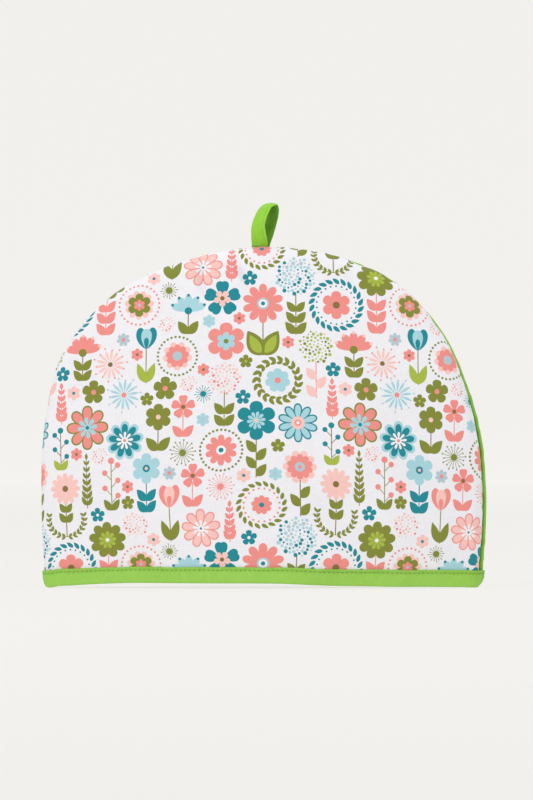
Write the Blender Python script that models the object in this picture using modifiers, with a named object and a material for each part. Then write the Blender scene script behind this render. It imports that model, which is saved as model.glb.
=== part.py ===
"""Padded tea cosy, standing on its hem.

Metres, +Z up. The origin is on the surface that the hem stands on, in the middle of the cosy.
The printed front faces -Y and +X is on the right of someone who looks at it.
Four pieces: front panel, back panel, hem binding and hanging loop.
"""

import math

import bmesh
import bpy

MM = 0.001

# ---- Outline of the standing cosy, seen from the front ---------------------
# Reach of the outline from the hem's middle, by angle up from +X. Left and right differ a little,
# as the two sides of a sewn and stuffed cover do.
ARCH = [  # angle in degrees, reach in mm
    {"angle": 0, "reach": 169.0},
    {"angle": 8, "reach": 172.6},
    {"angle": 17, "reach": 179.8},
    {"angle": 26, "reach": 191.2},
    {"angle": 35, "reach": 205.6},
    {"angle": 45, "reach": 223.2},
    {"angle": 55, "reach": 242.2},
    {"angle": 65, "reach": 257.0},
    {"angle": 76, "reach": 263.2},
    {"angle": 90, "reach": 264.4},
    {"angle": 104, "reach": 260.6},
    {"angle": 112, "reach": 258.4},
    {"angle": 120, "reach": 252.8},
    {"angle": 132, "reach": 236.4},
    {"angle": 142, "reach": 214.2},
    {"angle": 154, "reach": 191.4},
    {"angle": 163, "reach": 179.6},
    {"angle": 172, "reach": 172.6},
    {"angle": 180, "reach": 169.2},
]
SIDE_STEP = 3.5  # the front falls short of the back by this on the right, and the back on the left
SEAM_DEPTH = 4.2  # how deep the seam lies behind the outline
SEAM_GAP = 0.16  # from each panel to the seam's plane

# ---- Crowned outer face and flatter inner face of a panel, in mm -----------
EDGE_PLANE = 6.0  # where the rolled edge stands out furthest, from the seam's plane
ROUND_DEPTH, ROUND_REACH = 7.0, 9.0  # the roll from that edge onto the face
CROWN = 37.0  # what the open hem adds in its middle
INNER_RIM = 3.0  # thickness of the panel at the seam
INNER_ROUND, INNER_REACH = 5.5, 14.0
INNER_CROWN = 37.4

# ---- Hem, in mm -------------------------------------------------------------
HEM_CLEAR = 1.8  # from the surface to the panels' lower edge
PRESS_OUT, PRESS_IN = 0.9, 1.7  # how far the binding presses the padding together
PRESS_TOP, PRESS_END = 17.0, 42.0
LIFT_FADES = 60.0  # the hem's waves die out by this height
LIFT = {  # how far the hem stands off the surface, by place across, front and back
    -1: [
        {"x": -175, "lift": 0.0},
        {"x": -152, "lift": 0.0},
        {"x": -137, "lift": 2.3},
        {"x": -100, "lift": 4.1},
        {"x": -50, "lift": 3.9},
        {"x": 10, "lift": 3.3},
        {"x": 45, "lift": 2.0},
        {"x": 68, "lift": 0.8},
        {"x": 88, "lift": 0.0},
        {"x": 175, "lift": 0.0},
    ],
    1: [
        {"x": -175, "lift": 0.0},
        {"x": -120, "lift": 0.0},
        {"x": -60, "lift": 2.0},
        {"x": 0, "lift": 2.6},
        {"x": 55, "lift": 1.6},
        {"x": 95, "lift": 0.0},
        {"x": 175, "lift": 0.0},
    ],
}

# ---- Binding, in mm ---------------------------------------------------------
BIND_HEIGHT = 13.4
BIND_THICK = 1.2
BIND_GAP = 0.6  # between the binding and the panels
BIND_CORNER = 1.8  # radius of the fold round the hem's two edges
BIND_TIP = 0.9  # the inner leg stops this far short of the hollow's two ends
BIND_INNER_SHORT = 0.8  # the inside leg of the fold is this much lower

# ---- Hanging loop, in mm ----------------------------------------------------
LOOP_WIDTH, LOOP_THICK = 13.0, 2.0
LOOP_X, LOOP_Z = -2.4, 263.2  # where the strip comes out of the seam
LOOP = [  # the strip's middle line: offset from the loop's middle, height, lean to +X, twist in degrees
    {"off": -1.35, "up": -4.0, "lean": 0.0, "twist": 0},
    {"off": -1.6, "up": 2.0, "lean": 0.2, "twist": 5},
    {"off": -4.4, "up": 9.0, "lean": 1.0, "twist": 22},
    {"off": -6.8, "up": 17.0, "lean": 2.6, "twist": 36},
    {"off": -6.6, "up": 25.0, "lean": 4.6, "twist": 43},
    {"off": -3.2, "up": 31.8, "lean": 6.4, "twist": 47},
    {"off": 1.4, "up": 34.2, "lean": 7.4, "twist": 49},
    {"off": 5.3, "up": 31.2, "lean": 7.3, "twist": 49},
    {"off": 7.0, "up": 23.5, "lean": 5.6, "twist": 43},
    {"off": 5.8, "up": 15.5, "lean": 2.8, "twist": 34},
    {"off": 3.2, "up": 8.0, "lean": 1.0, "twist": 20},
    {"off": 1.6, "up": 2.0, "lean": 0.2, "twist": 5},
    {"off": 1.35, "up": -4.0, "lean": 0.0, "twist": 0},
]

# ---- Mesh density -----------------------------------------------------------
FACE_RINGS = 11  # from the hem's middle out to the roll
ROLL = [64, 38, 0]  # degrees round the roll, from the face to the outline
UNDER = [45, 90]  # degrees round the lip, from the outline to the seam
LOOP_STATIONS = 44


def smooth(t):
    t = min(max(t, 0.0), 1.0)
    return t * t * (3 - 2 * t)


def curve_at(rows, key, value, at):
    """A smooth curve through the rows of a table: value at a place along key."""
    last = len(rows) - 1
    k = 0
    while k < last - 1 and at > rows[k + 1][key]:
        k += 1

    def slope(i):
        a, b = rows[max(i - 1, 0)], rows[min(i + 1, last)]
        return (b[value] - a[value]) / (b[key] - a[key])

    a, b = rows[k], rows[k + 1]
    span = b[key] - a[key]
    t = (at - a[key]) / span
    return (
        (2 * t**3 - 3 * t**2 + 1) * a[value]
        + (t**3 - 2 * t**2 + t) * span * slope(k)
        + (3 * t**2 - 2 * t**3) * b[value]
        + (t**3 - t**2) * span * slope(k + 1)
    )


def reach(angle):
    return curve_at(ARCH, "angle", "reach", math.degrees(angle))


def outline(angle, side):
    """Reach of one panel's rolled edge. side is -1 for the front and 1 for the back."""
    return reach(angle) - SIDE_STEP * max(0.0, -side * math.cos(angle))


def seam(angle):
    return reach(angle) - SEAM_DEPTH


def lift(x, side):
    return max(0.0, curve_at(LIFT[side], "x", "lift", min(max(x, -174.9), 174.9)))


def press(z):
    return 1 - smooth((z - PRESS_TOP) / (PRESS_END - PRESS_TOP))


def rise(x, z, side):
    """Height above the surface of a point that lies z above the hem's own line."""
    fade = max(0.0, 1 - z / LIFT_FADES)
    return z + lift(x, side) * fade


def round_off(distance, span, power=2):
    return (1 - (1 - min(max(distance, 0.0) / span, 1.0)) ** power) ** (1 / power)


def outer_depth(angle, radius, side):
    """Distance from the seam's plane to the outer face."""
    edge = outline(angle, side)
    return (
        EDGE_PLANE
        + ROUND_DEPTH * round_off(edge - radius, ROUND_REACH)
        + CROWN * (1 - (radius / edge) ** 2)
        - PRESS_OUT * press(radius * math.sin(angle))
    )


def inner_depth(angle, radius, away=0.0):
    """Distance from the seam's plane to the inner face, or to a surface that lies away from it in the hollow."""
    edge = seam(angle) - INNER_RIM
    inside = round_off(edge - away - radius, INNER_REACH - away)
    return (
        SEAM_GAP
        + (INNER_ROUND - away) * inside
        + INNER_CROWN * (1 - (radius / edge) ** 2)
        + PRESS_IN * press(radius * math.sin(angle)) * inside
    )


def place(angle, radius, depth, side):
    """A point of a panel, in metres."""
    x, z = radius * math.cos(angle), radius * math.sin(angle)
    fade = max(0.0, 1 - z / LIFT_FADES)
    return (x * MM, side * depth * MM, (rise(x, z, side) + HEM_CLEAR * fade) * MM)


def outer_ring(ring, angle, side):
    """The outer face's ring: straight out from the hem's middle, then round the roll, then under it to the seam."""
    edge = outline(angle, side)
    if ring <= FACE_RINGS:
        radius = (edge - ROUND_REACH) * ring / FACE_RINGS
        return radius, outer_depth(angle, radius, side)
    if ring <= FACE_RINGS + len(ROLL):
        turn = math.radians(ROLL[ring - FACE_RINGS - 1])
        radius = edge - ROUND_REACH * (1 - math.cos(turn))
        return radius, outer_depth(angle, radius, side)
    turn = math.radians(UNDER[ring - FACE_RINGS - len(ROLL) - 1])
    radius = edge - (edge - seam(angle)) * (1 - math.cos(turn))
    start = EDGE_PLANE - PRESS_OUT * press(edge * math.sin(angle))
    return radius, start - (start - SEAM_GAP) * math.sin(turn)


def inner_radius(edge, span, ring, bends):
    """Even steps out to the bend, then bends more of them round it."""
    if ring <= FACE_RINGS:
        return (edge - span) * ring / FACE_RINGS
    turn = math.pi / 2 * (ring - FACE_RINGS) / bends
    return edge - span * (1 - math.sin(turn))


def inner_ring(ring, angle, side):
    """The inner face's ring, from the hem's middle out to the seam."""
    radius = inner_radius(seam(angle) - INNER_RIM, INNER_REACH, ring, len(ROLL) + len(UNDER))
    return radius, inner_depth(angle, radius)


def dome_sheet(bm, ring_of, side, rings):
    """A grid whose square rings become rings of the dome, from the hem's middle out to the seam."""
    made = bmesh.ops.create_grid(
        bm, x_segments=2 * rings, y_segments=rings, size=0.5
    )["verts"]
    for v in made:
        i = round(v.co.x * 2 * rings)  # -rings to rings
        j = round((v.co.y + 0.5) * rings)  # 0 at the hem
        ring = max(abs(i), j)
        if ring == 0:
            angle = math.pi / 2
        elif j < ring and i > 0:
            angle = math.pi * j / (4 * ring)
        elif j < ring:
            angle = math.pi * (1 - j / (4 * ring))
        else:
            angle = math.pi * (2 * ring - i) / (4 * ring)
        radius, depth = ring_of(ring, angle, side)
        v.co = place(angle, radius, depth, side)
    return made


def new_object(name, bm, home, material, smooth_angle=40):
    bmesh.ops.recalc_face_normals(bm, faces=bm.faces)
    mesh = bpy.data.meshes.new(name)
    bm.to_mesh(mesh)
    bm.free()
    mesh.shade_smooth()
    mesh.set_sharp_from_angle(angle=math.radians(smooth_angle))
    mesh.materials.append(material)
    obj = bpy.data.objects.new(name, mesh)
    home.objects.link(obj)
    return obj


def make_panel(name, side, home, material):
    """Outer face and inner face, joined round the seam and the hem by a rim."""
    rings = FACE_RINGS + len(ROLL) + len(UNDER)
    bm = bmesh.new()
    outer = set(dome_sheet(bm, outer_ring, side, rings))
    dome_sheet(bm, inner_ring, side, rings)
    rims = [e for e in bm.edges if e.is_boundary]
    bmesh.ops.bridge_loops(bm, edges=rims)
    bmesh.ops.triangulate(bm, faces=[f for f in bm.faces if len(f.verts) > 3 or any(v in outer for v in f.verts)])
    return new_object(name, bm, home, material)


def at_height(radius_of, z, right):
    """Angle at which the line that radius_of gives, by angle, is at height z, at the right or at the left."""
    turn = 0.0
    for _ in range(5):
        radius = radius_of(turn if right else math.pi - turn)
        turn = math.asin(z / max(radius, z + 1.0))
    return turn if right else math.pi - turn


def outer_line(z, side, away):
    """Section at height z of a surface that lies away from a panel's outer face, seen from above.

    It runs from the left end to the right one, as pairs of x and depth."""
    line = []
    for right in (False, True):
        half = []
        for ring in range(FACE_RINGS + len(ROLL) + 1):
            angle = at_height(lambda a: outer_ring(ring, a, side)[0], z, right)
            radius, depth = outer_ring(ring, angle, side)
            half.append((radius * math.cos(angle) if ring else 0.0, depth))
        line = line + half[1:] if right else half[::-1]
    moved = []
    for k, (x, depth) in enumerate(line):
        a, b = line[max(k - 1, 0)], line[min(k + 1, len(line) - 1)]
        dx, dy = b[0] - a[0], b[1] - a[1]
        if k == 0:
            dx, dy = 0.0, 1.0
        elif k == len(line) - 1:
            dx, dy = 0.0, -1.0
        size = math.hypot(dx, dy)
        moved.append((x - dy / size * away, depth + dx / size * away))
    return moved


def inner_line(z, away):
    """The same for the inner face: a section of the hollow, smaller by away."""
    rings = FACE_RINGS + len(ROLL)
    line = []
    for right in (False, True):
        half = []
        for ring in range(rings + 1):
            radius_of = lambda a: max(
                inner_radius(seam(a) - INNER_RIM - away - BIND_TIP, INNER_REACH - away - BIND_TIP, ring, len(ROLL)), z
            )
            angle = at_height(radius_of, z, right) if ring else math.pi / 2
            radius = radius_of(angle)
            half.append((radius * math.cos(angle) if ring else 0.0, inner_depth(angle, radius, away)))
        line = line + half[1:] if right else half[::-1]
    return line


def bind_ring(z, outside, away):
    """Closed line of the binding at height z: the front from left to right, then the back from right to left."""
    lines = {side: outer_line(z, side, away) if outside else inner_line(z, away) for side in (-1, 1)}
    front = [(x, -depth) for x, depth in lines[-1]]
    back = [(x, depth) for x, depth in lines[1]][::-1]
    right = ((front[-1][0] + back[0][0]) / 2, 0.0)
    left = ((front[0][0] + back[-1][0]) / 2, 0.0)
    return [left] + front + [right] + back


def bind_section():
    """The folded strip's closed section: down the outer leg, under, up the inner leg, and back along its near face."""
    legs = [
        {"outside": True, "top": BIND_HEIGHT},
        {"outside": False, "top": BIND_HEIGHT - BIND_INNER_SHORT},
    ]
    section = []
    for face in ("far", "near"):
        reach_out = BIND_GAP + (BIND_THICK if face == "far" else 0.0)
        corner = BIND_CORNER - (BIND_THICK if face == "near" else 0.0)
        rows = []
        for leg in legs:
            part = [
                {"outside": leg["outside"], "away": reach_out, "z": leg["top"]},
                {"outside": leg["outside"], "away": reach_out, "z": leg["top"] * 0.55},
            ]
            for turn in (0, 30, 60, 90):
                t = math.radians(turn)
                part.append(
                    {
                        "outside": leg["outside"],
                        "away": reach_out - corner * (1 - math.cos(t)),
                        "z": BIND_CORNER - corner * math.sin(t),
                    }
                )
            rows += part if leg["outside"] else part[::-1]
        section += rows if face == "far" else rows[::-1]
    return section


def make_binding(name, home, material):
    """A strip folded up both sides of the hem: its closed section, carried round the hem as a loft."""
    section = bind_section()
    rings = [bind_ring(max(row["z"] - HEM_CLEAR, 0.0), row["outside"], row["away"]) for row in section]
    around = len(rings[0])
    bm = bmesh.new()
    made = bmesh.ops.create_grid(bm, x_segments=around, y_segments=len(section), size=0.5)["verts"]
    for v in made:
        k = round((v.co.x + 0.5) * around) % around
        r = round((v.co.y + 0.5) * len(section)) % len(section)
        x, y = rings[r][k]
        side = -1 if 0 < k <= (around - 2) // 2 else 1
        z = section[r]["z"]
        v.co = (x * MM, y * MM, rise(x, z, side) * MM)
    bmesh.ops.remove_doubles(bm, verts=bm.verts, dist=0.000005)
    return new_object(name, bm, home, material, 50)


def make_loop(name, home, material):
    """The strip's middle surface along its twisted path, made thick with Solidify."""
    rows = [dict(row, at=k) for k, row in enumerate(LOOP)]
    bm = bmesh.new()
    made = bmesh.ops.create_grid(bm, x_segments=LOOP_STATIONS, y_segments=2, size=0.5)["verts"]
    for v in made:
        at = (v.co.x + 0.5) * (len(rows) - 1)
        across = v.co.y * LOOP_WIDTH
        off, up, lean, twist = (curve_at(rows, "at", key, at) for key in ("off", "up", "lean", "twist"))
        turn = math.radians(twist)
        x = LOOP_X + lean + off * math.sin(turn) + across * math.cos(turn)
        y = off * math.cos(turn) - across * math.sin(turn)
        v.co = (x * MM, y * MM, (LOOP_Z + up) * MM)
    obj = new_object(name, bm, home, material, 60)
    thick = obj.modifiers.new("thickness", "SOLIDIFY")
    thick.thickness = LOOP_THICK * MM
    thick.offset = 0
    thick.use_even_offset = True
    return obj


def cut_loop_slot(panels, cutters):
    """The seam opens round the loop's foot: a slot in both panels' lips."""
    bm = bmesh.new()
    bmesh.ops.create_cube(bm, size=1)
    wide = LOOP_WIDTH + 2.0
    deep = 2 * (1.35 + LOOP_THICK / 2 + 0.75)
    low, high = LOOP_Z - 4.8, LOOP_Z + 20
    for v in bm.verts:
        v.co = (
            (LOOP_X + v.co.x * wide) * MM,
            v.co.y * deep * MM,
            ((low + high) / 2 + v.co.z * (high - low)) * MM,
        )
    mesh = bpy.data.meshes.new("loop_slot")
    bm.to_mesh(mesh)
    bm.free()
    cutter = bpy.data.objects.new("loop_slot", mesh)
    cutters.objects.link(cutter)
    cutter.hide_render = True
    cutter.display_type = "WIRE"
    for panel in panels:
        cut = panel.modifiers.new("loop slot", "BOOLEAN")
        cut.operation = "DIFFERENCE"
        cut.object = cutter


def cloth(name, colour, roughness):
    material = bpy.data.materials.new(name)
    material.use_nodes = True
    shader = material.node_tree.nodes["Principled BSDF"]
    shader.inputs["Base Color"].default_value = (*colour, 1)
    shader.inputs["Roughness"].default_value = roughness
    shader.inputs["Metallic"].default_value = 0.0
    return material


def main():
    for obj in list(bpy.data.objects):
        bpy.data.objects.remove(obj, do_unlink=True)
    home = bpy.data.collections.new("tea_cosy")
    cutters = bpy.data.collections.new("cutters")
    bpy.context.scene.collection.children.link(home)
    bpy.context.scene.collection.children.link(cutters)

    printed = cloth("printed cotton", (0.87, 0.87, 0.90), 0.85)
    plain = cloth("lime cotton", (0.27, 0.60, 0.06), 0.85)
    binding = cloth("lime binding", (0.29, 0.62, 0.07), 0.85)

    front = make_panel("front_panel", -1, home, printed)
    back = make_panel("back_panel", 1, home, plain)
    make_binding("hem_binding", home, binding)
    make_loop("hanging_loop", home, binding)
    cut_loop_slot([front, back], cutters)


main()
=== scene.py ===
"""The looks of a padded tea cosy that stands on its hem: printed front, plain back, bound hem and hanging loop.

The working unit is the millimetre until a mesh is written, in metres. Side -1 is the front and 1 the back.
"""

import math
import random

import bpy
import numpy as np
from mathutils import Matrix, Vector, geometry, kdtree


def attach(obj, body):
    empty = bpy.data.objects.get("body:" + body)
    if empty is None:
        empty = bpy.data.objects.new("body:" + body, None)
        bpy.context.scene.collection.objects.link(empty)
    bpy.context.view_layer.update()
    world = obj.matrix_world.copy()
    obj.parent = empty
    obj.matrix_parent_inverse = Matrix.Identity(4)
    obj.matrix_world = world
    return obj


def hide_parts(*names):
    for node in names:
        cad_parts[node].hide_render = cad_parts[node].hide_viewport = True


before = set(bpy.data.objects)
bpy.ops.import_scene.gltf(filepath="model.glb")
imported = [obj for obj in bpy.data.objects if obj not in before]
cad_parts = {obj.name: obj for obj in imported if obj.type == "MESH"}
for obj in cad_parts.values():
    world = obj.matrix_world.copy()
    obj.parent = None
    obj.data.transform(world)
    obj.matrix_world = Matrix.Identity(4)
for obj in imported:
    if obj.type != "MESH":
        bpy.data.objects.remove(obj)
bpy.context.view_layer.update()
MM = 0.001
TAU = 2 * math.pi

# ---- The cosy's own sizes, as its construction has them ---------------------
ARCH = (
    (0, 169.4), (8, 173.5), (17, 181.5), (26, 192.8), (35, 206.9), (45, 224.2), (55, 242.7), (65, 257.0), (76, 263.2), (90, 264.4),
    (104, 260.6), (112, 258.4), (120, 252.8), (132, 236.4), (142, 214.2), (154, 191.4), (163, 179.6), (172, 172.2), (180, 168.6),
)
SIDE_STEP, SEAM_DEPTH, SEAM_GAP = 3.5, 4.2, 0.16
EDGE_PLANE, ROUND_DEPTH, ROUND_REACH, CROWN = 6.0, 7.0, 9.0, 37.0
INNER_RIM, INNER_ROUND, INNER_REACH, INNER_CROWN = 3.0, 5.5, 14.0, 37.4
HEM_CLEAR, PRESS_OUT, PRESS_IN, PRESS_TOP, PRESS_END, LIFT_FADES = 1.8, 0.9, 1.7, 17.0, 42.0, 60.0
LIFT = {
    -1: (
        (-175, 0.0), (-167, 0.0), (-163, 0.25), (-160, 1.0), (-155, 1.45), (-148, 1.75), (-142, 2.2), (-127, 3.05), (-111, 3.7), (-100, 3.95), (-75, 3.9), (-50, 3.8),
        (10, 3.6), (45, 2.2), (64, 1.75), (80, 1.5), (100, 1.0), (125, 0.85), (145, 0.55), (155, 0.4), (163, 0.0), (175, 0.0),
    ),
    1: (
        (-175, 0.0), (-167, 0.0), (-160, 0.88), (-155, 1.25), (-148, 1.45), (-142, 1.85), (-127, 2.5), (-100, 3.0), (-50, 2.9), (0, 2.8),
        (45, 1.5), (70, 0.6), (95, 0.15), (125, 0.2), (145, 0.25), (155, 0.2), (163, 0.0), (175, 0.0),
    ),
}
CORNER = ((-175, 6.5), (-172, 4.2), (-170.3, 2.4), (-169.2, 1.3), (-167.8, 0.35), (-166, 0.0), (165.5, 0.0), (167, 0.3), (168.6, 1.8), (170.2, 3.3), (172, 5.0), (175, 7.2))
CORNER_FADES = 9.0
BIND_HEIGHT, BIND_THICK, BIND_GAP, BIND_CORNER, BIND_TIP, BIND_INNER_SHORT = 13.4, 1.2, 0.6, 1.8, 0.9, 0.8
LOOP_WIDTH, LOOP_THICK, LOOP_X, LOOP_Z = 13.0, 2.0, -2.4, 263.2
LOOP = (  # offset from the loop's middle, height, lean to +X, twist in degrees
    (-1.35, -4.0, 0.0, 0), (-1.6, 2.0, 0.1, 5), (-4.4, 9.0, 0.9, 22), (-6.8, 17.0, 2.6, 36), (-6.5, 25.0, 4.9, 42), (-3.7, 32.2, 6.9, 45),
    (1.4, 34.3, 8.1, 46), (5.2, 31.2, 6.8, 46), (7.0, 23.6, 4.7, 42), (6.2, 15.7, 3.2, 34), (3.9, 8.1, 2.2, 20), (1.8, 2.0, 1.1, 6), (1.35, -4.0, 0.0, 0),
)


def smooth(t):
    t = np.clip(t, 0.0, 1.0)
    return t * t * (3 - 2 * t)


def curve_at(rows, at):
    """A smooth curve through (place, value) rows."""
    k = np.array([row[0] for row in rows], float)
    v = np.array([row[1] for row in rows], float)
    last = len(k) - 1
    low, high = np.maximum(np.arange(last + 1) - 1, 0), np.minimum(np.arange(last + 1) + 1, last)
    slope = (v[high] - v[low]) / (k[high] - k[low])
    at = np.asarray(at, float)
    i = np.clip(np.searchsorted(k, at, side="left") - 1, 0, last - 1)
    span = k[i + 1] - k[i]
    t = (at - k[i]) / span
    return (
        (2 * t**3 - 3 * t**2 + 1) * v[i]
        + (t**3 - 2 * t**2 + t) * span * slope[i]
        + (3 * t**2 - 2 * t**3) * v[i + 1]
        + (t**3 - t**2) * span * slope[i + 1]
    )


def reach(a):
    return curve_at(ARCH, np.degrees(a))


def outline(a, side):
    return reach(a) - SIDE_STEP * smooth((-side * np.cos(a) - 0.42) / 0.42)


def seam(a):
    return reach(a) - SEAM_DEPTH


def lift(x, side):
    return np.maximum(0.0, curve_at(LIFT[side], np.clip(x, -174.9, 174.9)))


def press(z):
    return 1 - smooth((z - PRESS_TOP) / (PRESS_END - PRESS_TOP))


def rise(x, z, side):
    corner = np.maximum(0.0, curve_at(CORNER, np.clip(x, -174.9, 174.9)))
    return z + lift(x, side) * np.maximum(0.0, 1 - z / LIFT_FADES) + corner * np.maximum(0.0, 1 - z / CORNER_FADES)


def round_off(distance, span, power=2):
    return (1 - (1 - np.clip(distance, 0.0, span) / span) ** power) ** (1 / power)


def outer_depth(a, r, side):
    edge = outline(a, side)
    return EDGE_PLANE + ROUND_DEPTH * round_off(edge - r, ROUND_REACH) + CROWN * (1 - (r / edge) ** 2) - PRESS_OUT * press(r * np.sin(a))


def inner_depth(a, r, away=0.0):
    edge = seam(a) - INNER_RIM
    inside = round_off(edge - away - r, INNER_REACH - away)
    return SEAM_GAP + (INNER_ROUND - away) * inside + INNER_CROWN * (1 - (r / edge) ** 2) + PRESS_IN * press(r * np.sin(a)) * inside


def place(a, r, depth, side):
    x, z = r * np.cos(a), r * np.sin(a)
    return np.stack([x, side * depth, rise(x, z, side) + HEM_CLEAR * np.maximum(0.0, 1 - z / LIFT_FADES)], -1)


def unit(v):
    return v / np.maximum(np.linalg.norm(v, axis=-1, keepdims=True), 1e-9)


# ---- Folds, creases and puckers ---------------------------------------------
# Long soft troughs (height < 0) and ridges (height > 0) on the faces: middle x and z, direction in degrees up
# from +X, half length, half width, height, all in mm.
FOLDS = {
    -1: (
        (-48.5, 241, 97, 15, 2.4, -1.30), (-43.5, 243, 99, 12, 2.8, 0.50), (-17.2, 243.5, 120, 15, 2.4, -1.50), (-12.6, 246, 120, 12, 2.8, 0.80),
        (-43, 224, 66, 16, 4.5, -0.30), (14, 250, 92, 12, 2.8, -0.40), (66, 236, 70, 12, 3.2, -0.45), (95, 218, 58, 13, 3.4, -0.42),
        (-93, 222, 118, 13, 3.4, -0.38), (-120, 190, 136, 14, 4.0, -0.36), (124, 176, 40, 12, 3.6, -0.34), (-146, 128, 160, 13, 4.4, -0.32),
        (-96, 118, 20, 52, 15.0, 0.55), (-30, 150, -14, 60, 17.0, -0.50), (58, 128, 26, 56, 16.0, 0.55), (112, 92, -30, 44, 13.0, -0.45),
        (-120, 62, -24, 38, 11.0, -0.45), (-44, 66, 10, 48, 13.0, 0.45), (34, 58, -8, 46, 12.0, -0.40), (100, 40, 12, 40, 10.0, 0.40),
        (-70, 190, 42, 40, 13.0, 0.42), (20, 200, -4, 46, 14.0, 0.40), (84, 176, -46, 36, 12.0, -0.40), (0, 104, 60, 44, 15.0, 0.35),
    ),
    1: (
        (-66, 238, 74, 20, 2.8, -1.25), (-59, 241, 74, 16, 3.2, 0.55), (-20, 248, 84, 19, 3.0, -1.20), (26, 248, 96, 17, 2.8, -1.05), (33, 245, 97, 13, 3.0, 0.45),
        (72, 232, 66, 18, 3.0, -1.20), (104, 208, 52, 17, 3.4, -1.00), (-108, 206, 126, 18, 3.4, -1.05), (-134, 160, 148, 17, 3.8, -0.90), (136, 152, 32, 18, 3.8, -0.95),
        (-84, 120, 34, 58, 13.0, 1.70), (-10, 140, -18, 60, 14.0, -1.60), (70, 120, 28, 54, 13.0, 1.65), (112, 74, -20, 42, 10.0, -1.30),
        (-110, 60, 18, 42, 9.5, -1.30), (-36, 62, -12, 48, 10.5, 1.35), (40, 50, 14, 44, 9.5, -1.20), (30, 206, 8, 50, 11.0, 1.25),
        (-52, 176, 52, 36, 4.2, -0.95), (-45, 171, 54, 30, 4.0, 0.45), (18, 96, -36, 40, 4.6, -0.90), (96, 160, -58, 32, 4.0, -0.85), (-118, 106, 66, 28, 3.8, -0.80),
        (-8, 34, 78, 20, 3.6, -0.70), (62, 30, 104, 16, 3.4, -0.65), (-72, 28, 96, 15, 3.2, -0.60), (124, 32, 70, 17, 3.6, -0.65), (46, 166, 22, 24, 3.6, -0.60),
    ),
}
# Dips of the sewn edge, by angle in degrees: half width in mm and depth in mm. Between them it bulges a little.
DIPS = {
    -1: ((73.4, 6.5, 1.9), (67.3, 5.0, 1.8), (56.8, 8.0, 1.5), (46.0, 8.0, 0.4), (36.0, 9.0, 0.6), (111.5, 7.0, 0.5), (118.5, 6.0, 0.6), (141.0, 9.0, 0.5), (27.0, 9.0, 0.5), (84.0, 7.0, 0.4)),
    1: ((80.0, 8.0, 0.5), (63.0, 8.0, 0.6), (44.0, 9.0, 0.6), (112.0, 8.0, 0.6), (131.0, 9.0, 0.6), (150.0, 9.0, 0.5), (25.0, 9.0, 0.5)),
}


PULL, RUCK = {-1: 0.26, 1: 0.46}, {-1: 0.30, 1: 0.42}  # how strongly the seam and the hem gather each side's cloth, in mm


def wander(at, seed, waves):
    """A smooth uneven line: sines of unlike lengths, each with its own height, in mm."""
    rng = random.Random(seed)
    total = np.zeros_like(np.asarray(at, float))
    for length, height in waves:
        total = total + height * np.sin(TAU * at / length + rng.uniform(0, TAU))
    return total


def relief(side, x, z, edge_away, along_edge):
    """How far the cloth stands off its even dome. edge_away is the distance from the sewn edge, over the cloth."""
    total = np.zeros_like(x)
    for fx, fz, turn, long, wide, height in FOLDS[side]:
        c, s = math.cos(math.radians(turn)), math.sin(math.radians(turn))
        p, q = (x - fx) * c + (z - fz) * s, -(x - fx) * s + (z - fz) * c
        q = q + 0.012 * p * p / max(long, 20) * 2
        total += height * np.exp(-0.5 * (p / (long * 0.62)) ** 2 - 0.5 * (q / wide) ** 2)
    total *= smooth((edge_away - 1.0) / 5.0) * smooth((z - 9.0) / 9.0)
    # gathers that run in from the sewn edge, uneven in length and depth
    pull = wander(along_edge, 21 + side, ((13.7, 0.5), (8.9, 0.32), (21.0, 0.45), (5.3, 0.16)))
    depth_in = 7.5 + 4.0 * np.sin(along_edge / 23.0 + side)
    total += PULL[side] * pull * smooth(edge_away / 2.2) * np.exp(-((edge_away / depth_in) ** 2))
    # puckers that the hem's stitching draws into the cloth over the binding
    over = z - BIND_HEIGHT
    ruck = wander(x, 31 + side, ((11.3, 0.5), (7.1, 0.35), (17.9, 0.5), (29.0, 0.4)))
    total += RUCK[side] * ruck * np.exp(-((np.maximum(over, 0) / 8.5) ** 2)) * smooth((over + 6.0) / 6.0)
    # the padding's own small unevenness
    total += 0.10 * (np.sin(x / 9.1 + 1.1 * np.sin(z / 13.0)) * np.sin(z / 8.3 + 0.9 * np.sin(x / 11.0))) * smooth(edge_away / 14) * smooth((z - 12) / 12)
    return total


def edge_dip(side, a, edge_away):
    """How far the sewn edge is drawn in."""
    at = np.degrees(a)
    total = np.zeros_like(at)
    for middle, half, deep in DIPS[side]:
        mm = np.radians(at - middle) * reach(a)
        total += deep * np.exp(-((mm / half) ** 2))
    total -= 0.12 * np.sin(np.radians(at) * 34 + side)
    return total * np.exp(-((np.maximum(edge_away, 0) / 11.0) ** 2)) * smooth((reach(a) * np.sin(a) - 22) / 14)


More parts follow.
